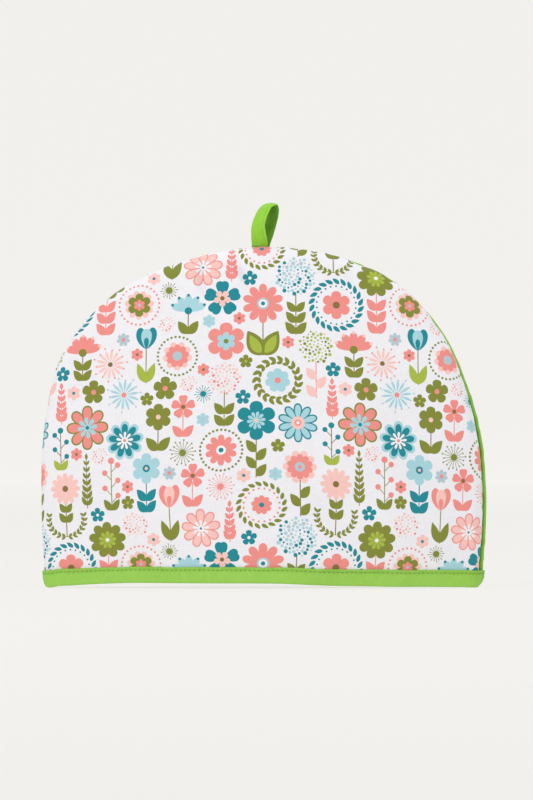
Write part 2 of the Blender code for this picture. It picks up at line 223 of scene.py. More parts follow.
class Dome:
    """One panel's outer face and inner face as maps from flat cloth to space.

    A point of the flat cloth is its distance s from the hem's middle, measured over the cloth, and its angle a."""

    ANGLES, STEPS = 721, 900

    def __init__(self, side):
        self.side = side
        a = np.linspace(0, math.pi, self.ANGLES)[:, None]
        edge, foot = outline(a, side), seam(a)
        q = np.linspace(0, 1, 200)[None]
        face = (edge - ROUND_REACH) * q
        t = np.linspace(math.pi / 2, 0, 60)[None, 1:]
        roll = edge - ROUND_REACH * (1 - np.cos(t))
        u = np.linspace(0, math.pi / 2, 60)[None, 1:]
        under = edge - (edge - foot) * (1 - np.cos(u))
        start = EDGE_PLANE - PRESS_OUT * press(edge * np.sin(a))
        r = np.concatenate([face, roll, under], 1)
        over = np.concatenate([face, roll], 1)
        depth = np.concatenate([outer_depth(a, over, side), start - (start - SEAM_GAP) * np.sin(u)], 1)
        depth = self.opened(a, r, depth)
        self.r, self.depth, self.total = self.even(a, r, depth)
        rim = seam(a) - INNER_RIM
        t = np.linspace(0, math.pi / 2, 60)[None, 1:]
        r = np.concatenate([(rim - INNER_REACH) * q, rim - INNER_REACH * (1 - np.sin(t))], 1)
        self.inner_r, self.inner_d, _ = self.even(a, r, self.opened(a, r, inner_depth(a, r)))

    def opened(self, a, r, depth):
        """The two lips of the seam stand apart round the loop's foot."""
        x = r * np.cos(a) - LOOP_X
        need = 2.85 * smooth((10.5 - np.abs(x)) / 3.2) * smooth((r - seam(a) + INNER_RIM + 1.5) / 1.5)
        return np.maximum(depth, need)

    def even(self, a, r, depth):
        p = place(a, r, depth, self.side)
        length = np.concatenate([np.zeros((len(r), 1)), np.cumsum(np.linalg.norm(np.diff(p, axis=1), axis=2), 1)], 1)
        total = length[:, -1]
        f = np.linspace(0, 1, self.STEPS)
        rr = np.stack([np.interp(f * total[k], length[k], r[k]) for k in range(len(r))])
        dd = np.stack([np.interp(f * total[k], length[k], depth[k]) for k in range(len(r))])
        return rr, dd, total

    def look(self, table, a, f):
        i = np.clip(a / math.pi, 0, 1) * (self.ANGLES - 1)
        j = np.clip(f, 0, 1) * (self.STEPS - 1)
        i0, j0 = np.minimum(i.astype(int), self.ANGLES - 2), np.minimum(j.astype(int), self.STEPS - 2)
        i, j = i - i0, j - j0
        return (table[i0, j0] * (1 - j) + table[i0, j0 + 1] * j) * (1 - i) + (table[i0 + 1, j0] * (1 - j) + table[i0 + 1, j0 + 1] * j) * i

    def length(self, a):
        return np.interp(a, np.linspace(0, math.pi, self.ANGLES), self.total)

    def smooth_face(self, a, f):
        return place(a, self.look(self.r, a, f), self.look(self.depth, a, f), self.side)

    def facing(self, surface, a, f, da=0.004, df=0.0035):
        across = surface(np.minimum(a + da, math.pi), f) - surface(np.maximum(a - da, 0), f)
        out = surface(a, np.minimum(f + df, 1)) - surface(a, np.maximum(f - df, 0))
        n = np.cross(out, across)
        n *= np.sign(self.side) * -1.0
        bad = (np.linalg.norm(across, axis=-1) < 1e-4) | (np.linalg.norm(n, axis=-1) < 1e-9)
        n[bad] = (0, self.side, 0)
        return unit(n)

    def face(self, a, f):
        """The outer face with its folds."""
        r, depth = self.look(self.r, a, f), self.look(self.depth, a, f)
        away = (1 - f) * self.length(a)
        r2 = r - edge_dip(self.side, a, away)
        p = place(a, r2, depth, self.side)
        n = self.facing(self.smooth_face, a, f)
        raised = relief(self.side, r * np.cos(a), r * np.sin(a), away, a * 230.0)
        return p + n * raised[..., None]

    def inside(self, a, f):
        return place(a, self.look(self.inner_r, a, f), self.look(self.inner_d, a, f), self.side)


def polar(points):
    return np.clip(np.arctan2(np.maximum(points[:, 1], 0), points[:, 0]), 0, math.pi), np.hypot(points[:, 0], points[:, 1])


# ---- Where the print, the camera and the lights are -------------------------
PRINT_X, PRINT_Z = 0.0, 0.0  # how the print's tile falls on the panel, in mm
PIXEL = 0.000777  # metres of the object to one pixel of an 800-pixel-high image
CAMERA_AWAY, CAMERA_UP, AIM_X, AIM_Z = 8.0, 0.0, 0.0027, 0.1455
KEY_WATTS, FILL_WATTS, TOP_WATTS, SKY = 30.0, 22.0, 27.0, 0.62


# ---- The print -------------------------------------------------------------
# An all-over scatter of ordinary flowers and leaves. Each motif is a list of closed outlines in mm with a
# colour's name, the later ones on top. They are laid out by a packing rule on a tile that repeats.

TILE_W, TILE_H = 208.0, 203.0
TAU = 2 * math.pi


def disc(x, y, r, colour, n=None):
    n = n or max(9, int(TAU * r / 0.55))
    t = np.arange(n) * TAU / n
    return (np.stack([x + r * np.cos(t), y + r * np.sin(t)], 1), colour)


def lobe(x, y, turn, start, end, half, swell, colour, bend=0.0):
    """A petal or leaf: from start to end along turn, half its greatest half-width, swell moves that outward."""
    length = end - start
    n = max(16, int(2.4 * length / 0.55))
    t = np.arange(n) * TAU / n
    s = (1 - np.cos(t)) / 2
    peak = ((swell + 0.5) / (swell + 1)) ** (swell + 0.5) * (0.5 / (swell + 1)) ** 0.5 * 2 if swell > 0 else 1.0
    across = half * np.sin(t) * s**swell / peak
    along = start + length * s
    across = across + bend * length * (s * s)
    c, d = math.cos(turn), math.sin(turn)
    return (np.stack([x + along * c - across * d, y + along * d + across * c], 1), colour)


def line(x0, y0, x1, y1, wide, colour, bow=0.0):
    n = max(2, int(math.hypot(x1 - x0, y1 - y0) / 1.6))
    t = np.linspace(0, 1, n + 1)
    dx, dy = x1 - x0, y1 - y0
    size = math.hypot(dx, dy)
    nx, ny = -dy / size, dx / size
    off = bow * 4 * t * (1 - t)
    px, py = x0 + dx * t + nx * off, y0 + dy * t + ny * off
    w = wide / 2
    one = np.stack([px + nx * w, py + ny * w], 1)
    two = np.stack([px - nx * w, py - ny * w], 1)[::-1]
    return (np.concatenate([one, two])[::-1], colour)


def ring_of_lobes(x, y, count, start, end, half, swell, colour, turn=90.0):
    return [lobe(x, y, math.radians(turn) + TAU * k / count, start, end, half, swell, colour) for k in range(count)]


def leaf(x, y, turn, long, half, colour, bend=0.0, round_tip=0.85):
    """A leaf with a soft point."""
    n = max(8, int(1.15 * long / 0.6))
    u = np.linspace(0, 1, n + 1)
    across = half * np.maximum(np.sin(np.pi * u**0.82), 0) ** round_tip
    mid = bend * long * u * u
    one = np.stack([long * u, mid + across], 1)
    two = np.stack([long * u, mid - across], 1)[::-1][1:-1]
    p = np.concatenate([one, two])[::-1]
    c, d = math.cos(turn), math.sin(turn)
    return (np.stack([x + p[:, 0] * c - p[:, 1] * d, y + p[:, 0] * d + p[:, 1] * c], 1), colour)


def leaf_pair(x, y, long, half, colour, lift=40.0, inner=None):
    made = []
    for side in (1, -1):
        turn = math.radians(lift) if side > 0 else math.pi - math.radians(lift)
        made.append(leaf(x, y, turn, long, half, colour, 0.14 * side))
        if inner:
            c, s = math.cos(turn), math.sin(turn)
            made.append(leaf(x + c * long * 0.10, y + s * long * 0.10, turn, long * 0.74, half * 0.58, inner, 0.14 * side))
    return made


def stem(foot, top, colour, wide=0.62):
    return [line(0, foot, 0, top, wide, colour)]


def pairs(foot, gap, count, long, half, colour, lift=40.0, inner=None, shrink=1.0):
    made = []
    for k in range(count):
        size = shrink**k
        made += leaf_pair(0, foot + gap * k, long * size, half * size, colour, lift, inner)
    return made


def climbing(foot, gap, count, long, half, colour, lift=44.0, first=1):
    """Leaves one at a time, left and right by turns."""
    made = []
    for k in range(count):
        side = first if k % 2 == 0 else -first
        turn = math.radians(lift) if side > 0 else math.pi - math.radians(lift)
        made.append(leaf(0, foot + gap * k, turn, long, half, colour, 0.12 * side))
    return made


def spray(foot, gap, count, long, half, colour, stem_colour, top):
    """A fern-like twig: many small pairs that shrink to a single leaf at the top."""
    made = [line(0, foot, 0, top, 0.5, stem_colour)]
    for k in range(count):
        size = 1.0 - 0.55 * k / count
        made += leaf_pair(0, foot + 1.8 + gap * k, long * size, half * size, colour, 48)
    return made + [leaf(0, top - 0.4, math.pi / 2, long * 0.62, half * 0.7, colour)]


def berries(foot, gap, count, reach, dot, colour, stem_colour, lift=46.0):
    """Berries on short stalks, left and right by turns, and one on top."""
    made = []
    for k in range(count):
        side = 1 if k % 2 == 0 else -1
        turn = math.radians(lift) if side > 0 else math.pi - math.radians(lift)
        y = foot + gap * k
        ex, ey = reach * math.cos(turn), y + reach * math.sin(turn)
        made.append(line(0, y, ex, ey, 0.45, stem_colour))
        made.append(disc(ex, ey, dot, colour))
    top = foot + gap * count + 1.4
    return [line(0, foot - gap, 0, top, 0.55, stem_colour)] + made + [disc(0, top + dot * 0.6, dot * 1.15, colour)]


def seed_head(x, y, r, count, big, colours):
    """Dots in the sunflower order, larger and smaller by turns."""
    made = []
    for k in range(count):
        q = r * math.sqrt((k + 0.6) / count)
        a = k * 2.399963
        size = big * (1.0, 0.55, 0.72, 0.45, 0.85)[k % 5] * (0.8 + 0.2 * q / r)
        made.append(disc(x + q * math.cos(a), y + q * math.sin(a), size, colours[(k * 7 // 3) % len(colours)], 6 if size < 0.5 else 9))
    return made


def shifted(shapes, dx, dy):
    return [(pts + (dx, dy), colour) for pts, colour in shapes]


def sized(shapes, k):
    return [(anticlockwise(pts * k), colour) for pts, colour in shapes]


def anticlockwise(p):
    x, y = p[:, 0], p[:, 1]
    return p if np.sum(x * np.roll(y, -1) - np.roll(x, -1) * y) > 0 else p[::-1]


# -- flower heads, centred on 0,0 --
def rounds(count, r, half, colour, swell=0.6, turn=90.0, heart=0.34):
    return ring_of_lobes(0, 0, count, 0, r, half, swell, colour, turn) + [disc(0, 0, r * heart, colour)]


def rimmed(count, r, half, rim, fill, edge=0.95, swell=0.6, turn=90.0):
    return ring_of_lobes(0, 0, count, 0, r, half, swell, rim, turn) + ring_of_lobes(
        0, 0, count, edge, r - edge, half - edge * 0.85, swell, fill, turn
    )


def eye(*rings):
    return [disc(0, 0, r, colour) for r, colour in rings]


def notched(count, r, half, colour, turn=90.0):
    """Petals with a notch in their ends, each two narrow lobes side by side."""
    made = []
    for k in range(count):
        a = math.radians(turn) + TAU * k / count
        for lean in (-0.17, 0.17):
            made.append(lobe(0, 0, a + lean, 0, r, half, 0.8, colour))
    return made + [disc(0, 0, r * 0.3, colour)]


def fan(count, r, half, colour, tip, spread=128.0):
    """Half a flower, open at the top."""
    made = []
    for k in range(count):
        a = math.radians(90 - spread / 2 + spread * k / (count - 1))
        made.append(lobe(0, 0, a, 0, r, half, 0.85, colour))
        made.append(disc(r * 0.99 * math.cos(a), r * 0.99 * math.sin(a), half * 0.42, tip))
    return made


def tulip(a, b):
    return [
        lobe(0, -6.0, math.radians(62), 0, 14.0, 3.1, 0.35, a, bend=0.16),
        lobe(0, -6.0, math.radians(118), 0, 14.0, 3.1, 0.35, a, bend=-0.16),
        lobe(0, -6.4, math.radians(90), 0, 13.2, 3.3, 0.45, b),
        lobe(0, -6.4, math.radians(90), 0, 7.6, 1.5, 0.5, a),
    ]


def dot_ring(count, r, dot, colour, turn=0.0):
    return [disc(r * math.cos(math.radians(turn) + TAU * k / count), r * math.sin(math.radians(turn) + TAU * k / count), dot, colour, 8) for k in range(count)]


def leaf_ring(r, count, long, half, colour, berry=None, dot=0.6):
    """A wreath: leaves that lean outward and round, with berries or small leaves on its inside."""
    made = []
    for k in range(count):
        a = TAU * k / count
        px, py = r * math.cos(a), r * math.sin(a)
        made.append(leaf(px, py, a + math.radians(52), long, half, colour, 0.1, 0.75))
        if berry:
            q = a + TAU * 0.5 / count
            made.append(disc((r - 1.5) * math.cos(q), (r - 1.5) * math.sin(q), dot, berry, 8))
        else:
            made.append(leaf(px, py, a + math.radians(128), long * 0.8, half * 0.9, colour, -0.1, 0.75))
    return made


def pins(count, inner, reach, dot, wide, colour, tip=None):
    made = []
    for k in range(count):
        a = TAU * (k + 0.25) / count
        r = reach * (1.0 if k % 2 == 0 else 0.84)
        c, s = math.cos(a), math.sin(a)
        made.append(line(inner * c, inner * s, r * c, r * s, wide, colour))
        made.append(disc(r * c, r * s, dot, tip or colour, 7))
    return made


def rays(count, r, half, colour, swell=0.8):
    return [lobe(0, 0, TAU * k / count + 0.13, 0.8, r, half, swell, colour) for k in range(count)]


def laurel(side, colour):
    """A curved twig of small leaf pairs that grows out from the foot of a stalk."""
    made = []
    turn_at = [(-math.pi / 2 + t * math.radians(100)) for t in np.linspace(0.06, 0.98, 7)]
    for a in turn_at:
        px, py = side * 11.8 * math.cos(a), 11.8 + 11.8 * math.sin(a)
        turn = (a + math.pi / 2) if side > 0 else math.pi - (a + math.pi / 2)
        for lean in (-0.72, 0.72):
            made.append(leaf(px, py, turn + lean, 3.2, 0.85, colour, 0, 0.7))
    pts = [(side * 11.8 * math.cos(a), 11.8 + 11.8 * math.sin(a)) for a in [-math.pi / 2] + turn_at]
    return made + [line(*pts[i], *pts[i + 1], 0.4, colour) for i in range(len(pts) - 1)]


GROW = 1.25  # the drawing's own units to mm of cloth


def motifs():
    m = {}
    # -- tall ones, on stems --
    m["teal_climber"] = stem(-23, 4, "brown") + climbing(-22, 5.0, 4, 9.4, 2.7, "olive") + shifted(
        rounds(6, 12.2, 4.0, "teal") + rays(10, 5.6, 1.0, "aqua") + eye((2.0, "aqua"), (1.1, "blush")), 0, 12.5)
    m["coral_broad_leaves"] = stem(-22, 6, "brown") + leaf_pair(0, -21.5, 17.5, 5.3, "olive", 50, "leaf") + shifted(
        rounds(10, 12.6, 2.5, "coral", 0.75, 90, 0.4) + eye((3.7, "grey"), (2.6, "white"), (1.3, "teal")), 0, 11.0)
    m["aqua_seed_head"] = stem(-25, 2, "brown") + pairs(-24, 7.0, 3, 9.6, 2.7, "olive", 40, None, 0.93) + seed_head(0, 12.4, 12.0, 82, 1.32, ["aqua", "teal", "aqua", "grey", "aqua", "teal"])
    m["blush_seed_head"] = stem(-20, 2, "olive") + pairs(-19, 7.2, 2, 9.0, 2.6, "olive") + seed_head(0, 10.4, 9.8, 60, 1.05, ["blush", "coral", "blush"])
    m["leaf_seed_head"] = stem(-21, 2, "coral") + climbing(-20, 5.4, 3, 9.2, 2.7, "blush", 42, -1) + seed_head(0, 11.0, 10.2, 66, 1.08, ["leaf", "olive", "leaf"])
    m["aqua_pairs"] = stem(-17.5, 4, "teal") + pairs(-17, 6.8, 2, 9.0, 2.6, "teal") + shifted(
        rounds(6, 9.2, 3.1, "aqua") + eye((2.3, "teal"), (1.0, "blush")), 0, 9.0)
    m["layered_climber"] = stem(-20.5, 4, "brown") + climbing(-19.5, 5.2, 3, 9.2, 2.7, "olive") + shifted(
        rounds(10, 10.2, 2.4, "blush", 0.8, 72) + rounds(10, 7.8, 1.9, "coral", 0.7, 90, 0.5) + eye((3.0, "grey"), (1.1, "coral")), 0, 9.6)
    m["daisy_laurels"] = stem(-21, 5, "brown") + shifted(laurel(1, "olive") + laurel(-1, "olive"), 0, -21) + leaf_pair(0, -11.5, 7.6, 2.2, "olive", 46) + leaf_pair(0, -5.0, 7.0, 2.0, "olive", 46) + shifted(
        rounds(12, 9.8, 1.7, "blush", 0.6, 90, 0.3) + eye((1.9, "brown"),), 0, 9.6)
    m["olive_coral_leaves"] = stem(-24, 3, "coral") + pairs(-23.5, 7.2, 3, 9.2, 2.6, "coral", 42) + shifted(
        rounds(9, 12.0, 3.0, "olive") + rays(9, 5.8, 1.2, "leaf") + eye((2.2, "leaf"), (1.2, "white")), 0, 11.4)
    m["coral_tulip"] = stem(-18, 3, "olive") + leaf_pair(0, -17.5, 14.0, 2.7, "olive", 60) + shifted(tulip("coral", "blush"), 0, 9.2)
    m["teal_tulip"] = stem(-18, 3, "olive") + leaf_pair(0, -17.5, 13.0, 2.6, "leaf", 58) + shifted(tulip("teal", "aqua"), 0, 9.2)
    m["coral_fan"] = stem(-16, 1, "brown") + pairs(-15.5, 6.4, 2, 8.6, 2.4, "olive", 40) + shifted(fan(5, 12.0, 2.5, "coral", "blush"), 0, 0.5) + [disc(0, 1.6, 2.5, "olive")]
    m["aqua_fan"] = stem(-13, 1, "brown") + leaf_pair(0, -12.5, 10.0, 2.8, "olive", 44) + shifted(fan(5, 11.0, 2.3, "aqua", "teal"), 0, 1.0) + [disc(0, 2.0, 2.3, "teal")]
    m["olive_one_pair"] = stem(-13.4, 3, "brown") + leaf_pair(0, -13, 10.6, 3.0, "olive", 38) + shifted(rounds(6, 8.2, 2.9, "olive") + eye((1.5, "blush"),), 0, 7.2)
    m["coral_one_pair"] = stem(-12, 3, "coral") + leaf_pair(0, -11.5, 9.2, 2.6, "coral", 38) + shifted(notched(5, 7.4, 1.75, "coral") + eye((1.3, "brown"),), 0, 6.6)
    m["fern"] = spray(-15.5, 4.1, 7, 6.4, 1.4, "olive", "brown", 14.5)
    m["blush_fern"] = spray(-12.5, 4.2, 5, 6.6, 1.7, "coral", "coral", 9.5)
    m["berry_sprig"] = berries(-11, 4.6, 5, 6.0, 1.75, "coral", "olive") + leaf_pair(0, -15.4, 8.2, 2.2, "olive", 44)
    m["teal_berries"] = berries(-9, 4.4, 4, 5.6, 1.6, "teal", "brown") + leaf_pair(0, -13.2, 7.6, 2.1, "leaf", 44)
    # -- round ones --
    m["wreath_aqua"] = leaf_ring(12.2, 19, 5.0, 1.25, "olive") + rounds(7, 7.6, 2.5, "aqua") + eye((1.9, "coral"),)
    m["wreath_coral"] = leaf_ring(13.6, 22, 5.3, 1.3, "teal", "teal", 0.62) + rounds(6, 8.9, 3.1, "coral") + eye((2.2, "brown"),)
    m["wreath_berries"] = leaf_ring(11.8, 20, 4.6, 1.15, "olive", "coral", 0.7) + rounds(9, 6.0, 1.6, "coral") + eye((1.5, "teal"),)
    m["ring_coral"] = dot_ring(30, 12.0, 0.78, "olive") + rounds(9, 9.0, 2.2, "blush", 0.8, 70) + rounds(9, 7.2, 1.9, "coral", 0.7, 90, 0.45) + eye((2.9, "grey"),)
    m["ring_daisy"] = dot_ring(32, 12.6, 0.8, "olive") + rounds(10, 9.6, 2.0, "coral", 0.75, 90, 0.4) + eye((2.9, "white"), (1.5, "teal"))
    m["ring_olive"] = dot_ring(28, 12.4, 0.74, "coral", 4) + rounds(11, 9.2, 2.0, "blush", 0.8, 72) + rounds(6, 7.4, 2.5, "olive") + rounds(6, 3.6, 1.2, "coral") + eye((0.9, "grey"),)
    m["rimmed_coral"] = rimmed(8, 13.6, 3.5, "olive", "coral") + rays(8, 6.4, 1.3, "aqua") + eye((2.3, "aqua"), (1.2, "teal"))
    m["rimmed_aqua"] = rimmed(10, 12.2, 2.6, "teal", "aqua") + eye((4.0, "blush"), (2.0, "coral"), (1.0, "white"))
    m["rimmed_blush"] = rimmed(9, 12.2, 2.85, "coral", "blush", 0.8, 0.75) + rays(9, 5.2, 0.9, "white") + eye((2.0, "white"), (0.8, "teal"))
    m["teal_on_aqua"] = rounds(9, 12.0, 2.9, "aqua", 0.7) + rounds(9, 10.2, 2.0, "teal", 0.7, 90, 0.3) + rays(9, 5.4, 0.8, "white") + eye((2.1, "white"), (1.0, "coral"))
    m["clock_aqua"] = rays(14, 8.8, 0.8, "aqua") + pins(14, 1.0, 10.8, 0.6, 0.3, "aqua", "grey") + eye((1.6, "coral"),)
    m["clock_blush"] = rays(14, 8.6, 0.8, "blush") + pins(14, 1.0, 10.6, 0.6, 0.3, "blush", "coral") + eye((1.5, "brown"),)
    m["six_coral"] = rounds(6, 11.8, 4.0, "coral") + rounds(6, 5.8, 1.9, "aqua") + eye((1.5, "olive"),)
    m["notched_teal"] = notched(5, 11.2, 2.6, "teal") + rounds(5, 5.2, 1.9, "blush", 0.6, 54) + eye((1.4, "brown"),)
    m["notched_coral"] = notched(5, 8.2, 2.0, "coral") + eye((2.1, "leaf"), (1.0, "brown"))
    m["five_olive"] = rounds(5, 7.4, 2.9, "olive") + eye((1.6, "coral"),)
    m["burst_olive"] = pins(18, 0.8, 7.8, 0.55, 0.34, "olive") + eye((2.1, "olive"),)
    m["burst_coral"] = pins(20, 0.8, 8.0, 0.5, 0.3, "coral") + eye((2.0, "coral"),)
    m["burst_small_teal"] = pins(16, 0.8, 5.2, 0.36, 0.32, "teal") + eye((1.8, "teal"),)
    m["burst_small_olive"] = pins(16, 0.8, 5.1, 0.4, 0.34, "olive") + eye((2.1, "olive"),)
    m["seeds_blush"] = seed_head(0, 0, 8.0, 44, 0.95, ["blush", "coral", "blush"])
    m["seeds_teal"] = seed_head(0, 0, 8.0, 42, 1.0, ["aqua", "teal", "aqua"])
    m["seeds_small"] = seed_head(0, 0, 4.9, 26, 0.72, ["blush", "coral"])
    m["tiny_teal"] = rounds(5, 4.7, 1.75, "teal") + eye((1.0, "white"),)
    m["tiny_coral"] = rounds(6, 3.9, 1.35, "coral") + eye((0.9, "brown"),)
    m["tiny_olive"] = rounds(5, 4.2, 1.6, "olive") + eye((0.9, "leaf"),)
    m["tiny_aqua"] = rounds(6, 4.1, 1.4, "aqua") + eye((1.0, "grey"),)
    m["tiny_blush"] = rounds(6, 4.4, 1.5, "blush") + eye((1.0, "teal"),)
    m["tiny_grey"] = rounds(7, 4.2, 1.2, "grey") + eye((1.2, "coral"),)
    return {name: sized(shapes, GROW) for name, shapes in m.items()}


# The large motifs are set first, in this order, then the gaps are filled with smaller and smaller ones.
LARGE = (
    "coral_broad_leaves aqua_seed_head wreath_coral olive_coral_leaves ring_daisy teal_climber daisy_laurels rimmed_coral "
    "wreath_aqua leaf_seed_head ring_coral layered_climber blush_seed_head ring_olive coral_tulip teal_on_aqua wreath_berries "
    "aqua_pairs rimmed_aqua coral_fan six_coral rimmed_blush teal_tulip clock_blush notched_teal aqua_fan clock_aqua "
    "olive_one_pair berry_sprig fern coral_one_pair teal_berries blush_fern"
).split()
AGAIN = "ring_coral olive_one_pair coral_one_pair teal_berries clock_aqua berry_sprig aqua_pairs ring_daisy notched_teal rimmed_blush blush_fern".split()
MIDDLE = "seeds_blush burst_coral notched_coral seeds_teal burst_olive five_olive notched_coral burst_coral seeds_teal five_olive burst_olive seeds_blush".split()
SMALL = (
    "tiny_teal burst_small_olive seeds_small tiny_coral burst_small_teal tiny_olive tiny_blush tiny_teal seeds_small tiny_grey "
    "tiny_aqua tiny_coral burst_small_olive tiny_teal tiny_olive burst_small_teal tiny_blush tiny_coral tiny_grey tiny_aqua"
).split()


def footprint(shapes, clear, w, h):
    """Which mm cells round 0,0 the motif needs, its outlines grown by clear."""
    pts = np.concatenate([p for p, _ in shapes])
    reach = int(np.ceil(np.abs(pts).max() + clear)) + 2
    mask = np.zeros((h, w), bool)
    extra = []
    for p, _ in shapes:
        q = np.concatenate([p, (p + np.roll(p, -1, 0)) / 2, p * 0.5 + p.mean(0) * 0.5, p.mean(0)[None]])
        extra.append(q)
    q = np.concatenate(extra)
    steps = np.arange(-math.ceil(clear), math.ceil(clear) + 1)
    for dx in steps:
        for dy in steps:
            if dx * dx + dy * dy <= (clear + 0.3) ** 2:
                mask[np.round(q[:, 1] + dy).astype(int) % h, np.round(q[:, 0] + dx).astype(int) % w] = True
    # close the inside of rounds: fill cells that are walled in
    grown = mask.copy()
    box = np.roll(np.roll(grown, h // 2, 0), w // 2, 1)
    outside = np.zeros_like(box)
    outside[0, :] = outside[-1, :] = outside[:, 0] = outside[:, -1] = True
    for _ in range(max(w, h)):
        new = outside.copy()
        new[1:] |= outside[:-1]
        new[:-1] |= outside[1:]
        new[:, 1:] |= outside[:, :-1]
        new[:, :-1] |= outside[:, 1:]
        new &= ~box
        new |= outside
        if (new == outside).all():
            break
        outside = new
    box = ~outside
    return np.roll(np.roll(box, -(h // 2), 0), -(w // 2), 1)


def lay_out(designs):
    """Places for the motifs on the repeating tile: name, x, y. The same ones each time."""
    w, h = int(TILE_W), int(TILE_H)
    rng = np.random.default_rng(29)
    taken = np.zeros((h, w))
    placed = []
    prints = {}

    def conv(a, mask):
        return np.real(np.fft.ifft2(np.fft.fft2(a) * np.conj(np.fft.fft2(mask.astype(float)))))

    fy = np.minimum(np.arange(h), h - np.arange(h))[:, None]
    fx = np.minimum(np.arange(w), w - np.arange(w))[None, :]

    def near(sigma):
        k = np.exp(-(fx**2 + fy**2) / (2 * sigma**2))
        return k / k.sum()

    def put(name, tight):
        nonlocal taken
        if name not in prints:
            prints[name] = (footprint(designs[name], 0.5, w, h), footprint(designs[name], 1.4, w, h))
        thin, fat = prints[name]
        over = conv(taken, fat)
        free = over < 0.5
        if not free.any():
            return False
        soft = np.real(np.fft.ifft2(np.fft.fft2(taken) * np.fft.fft2(near(5.0))))
        rim = fat.astype(float)
        score = conv(soft, rim) * (1 if tight else -1)
        # keep the same kind of motif, and the same main colour, apart
        for other, x, y in placed:
            d2 = np.minimum(abs(np.arange(w) - x), w - abs(np.arange(w) - x))[None, :] ** 2 + np.minimum(abs(np.arange(h) - y), h - abs(np.arange(h) - y))[:, None] ** 2
            same = 1.0 if other == name else 0.45 if MAIN[other] == MAIN[name] else 0.0
            if same:
                score = score - same * scale_of(score) * np.exp(-d2 / (2 * 34.0**2)) * 1.6
        score = score + rng.random(score.shape) * 1e-3 * scale_of(score)
        score[~free] = -np.inf
        y, x = np.unravel_index(np.argmax(score), score.shape)
        placed.append((name, float(x), float(y)))
        taken = np.maximum(taken, np.roll(np.roll(thin, y, 0), x, 1).astype(float))
        return True

    def scale_of(a):
        ok = np.isfinite(a)
        return float(np.ptp(a[ok])) if ok.any() else 1.0

    for name in LARGE:
        put(name, True)
    for name in AGAIN:
        put(name, True)
    for name in MIDDLE * 2:
        put(name, True)
    for name in SMALL * 8:
        put(name, False)
    return placed


# each design's main colour, to keep like colours apart
MAIN = {
    "coral": "coral_broad_leaves ring_daisy rimmed_coral ring_coral layered_climber coral_tulip coral_fan six_coral berry_sprig coral_one_pair burst_coral notched_coral tiny_coral olive_coral_leaves blush_fern",
    "teal": "wreath_coral teal_climber teal_on_aqua teal_tulip notched_teal teal_berries seeds_teal burst_small_teal tiny_teal",
    "aqua": "aqua_seed_head aqua_pairs rimmed_aqua aqua_fan clock_aqua tiny_aqua",
    "olive": "wreath_aqua wreath_berries ring_olive olive_one_pair fern five_olive burst_olive burst_small_olive tiny_olive",
    "leaf": "leaf_seed_head",
    "blush": "daisy_laurels blush_seed_head rimmed_blush clock_blush seeds_blush seeds_small tiny_blush",
    "grey": "tiny_grey",
}
MAIN = {design: colour for colour, row in MAIN.items() for design in row.split()}


# ---- Meshes -----------------------------------------------------------------
def srgb(r, g, b):
    return tuple(((c / 255) / 12.92 if c / 255 <= 0.04045 else ((c / 255 + 0.055) / 1.055) ** 2.4) for c in (r, g, b))


def keep_off(points, near, gap):
    """The points that lie further than gap from all of near."""
    tree = kdtree.KDTree(len(near))
    for k, (x, y) in enumerate(near):
        tree.insert((x, y, 0), k)
    tree.balance()
    return np.array([p for p in points if tree.find((p[0], p[1], 0))[2] > gap])


def area_of(flat, tris):
    a, b, c = flat[tris[:, 0]], flat[tris[:, 1]], flat[tris[:, 2]]
    return ((b[:, 0] - a[:, 0]) * (c[:, 1] - a[:, 1]) - (b[:, 1] - a[:, 1]) * (c[:, 0] - a[:, 0])) / 2


def triangles_of(points, faces):
    """Triangles inside faces[0], with for each one the last of faces that covers it, and the input point of each vertex."""
    verts, _, tris, from_points, _, origin = geometry.delaunay_2d_cdt([Vector(p) for p in points], [], faces, 0, 1e-5, True)
    flat = np.array([(v.x, v.y) for v in verts])
    kept = [k for k, source in enumerate(origin) if 0 in source]
    top = np.array([max(origin[k]) for k in kept])
    tris = np.array([tris[k] for k in kept]).reshape(-1, 3)
    area = area_of(flat, tris)
    tris[area < 0] = tris[area < 0][:, ::-1]
    good = np.abs(area) > 1e-10
    return flat, tris[good], top[good], from_points


def inside_polygon(points, polygon):
    x, y = points[:, 0][:, None], points[:, 1][:, None]
    x0, y0 = polygon[:, 0][None], polygon[:, 1][None]
    x1, y1 = np.roll(polygon[:, 0], -1)[None], np.roll(polygon[:, 1], -1)[None]
    cross = ((y0 > y) != (y1 > y)) & (x < (x1 - x0) * (y - y0) / np.where(y1 == y0, 1e-12, y1 - y0) + x0)
    return cross.sum(1) % 2 == 1


def loops_of(edges):
    """Directed edges, each given once, joined into closed lines."""
    onward = dict(edges)
    loops = []
    while onward:
        start, at = next(iter(onward.items()))
        del onward[start]
        loop = [start]
        while at != start and at in onward:
            loop.append(at)
            at = onward.pop(at)
        loops.append(loop)
    return loops


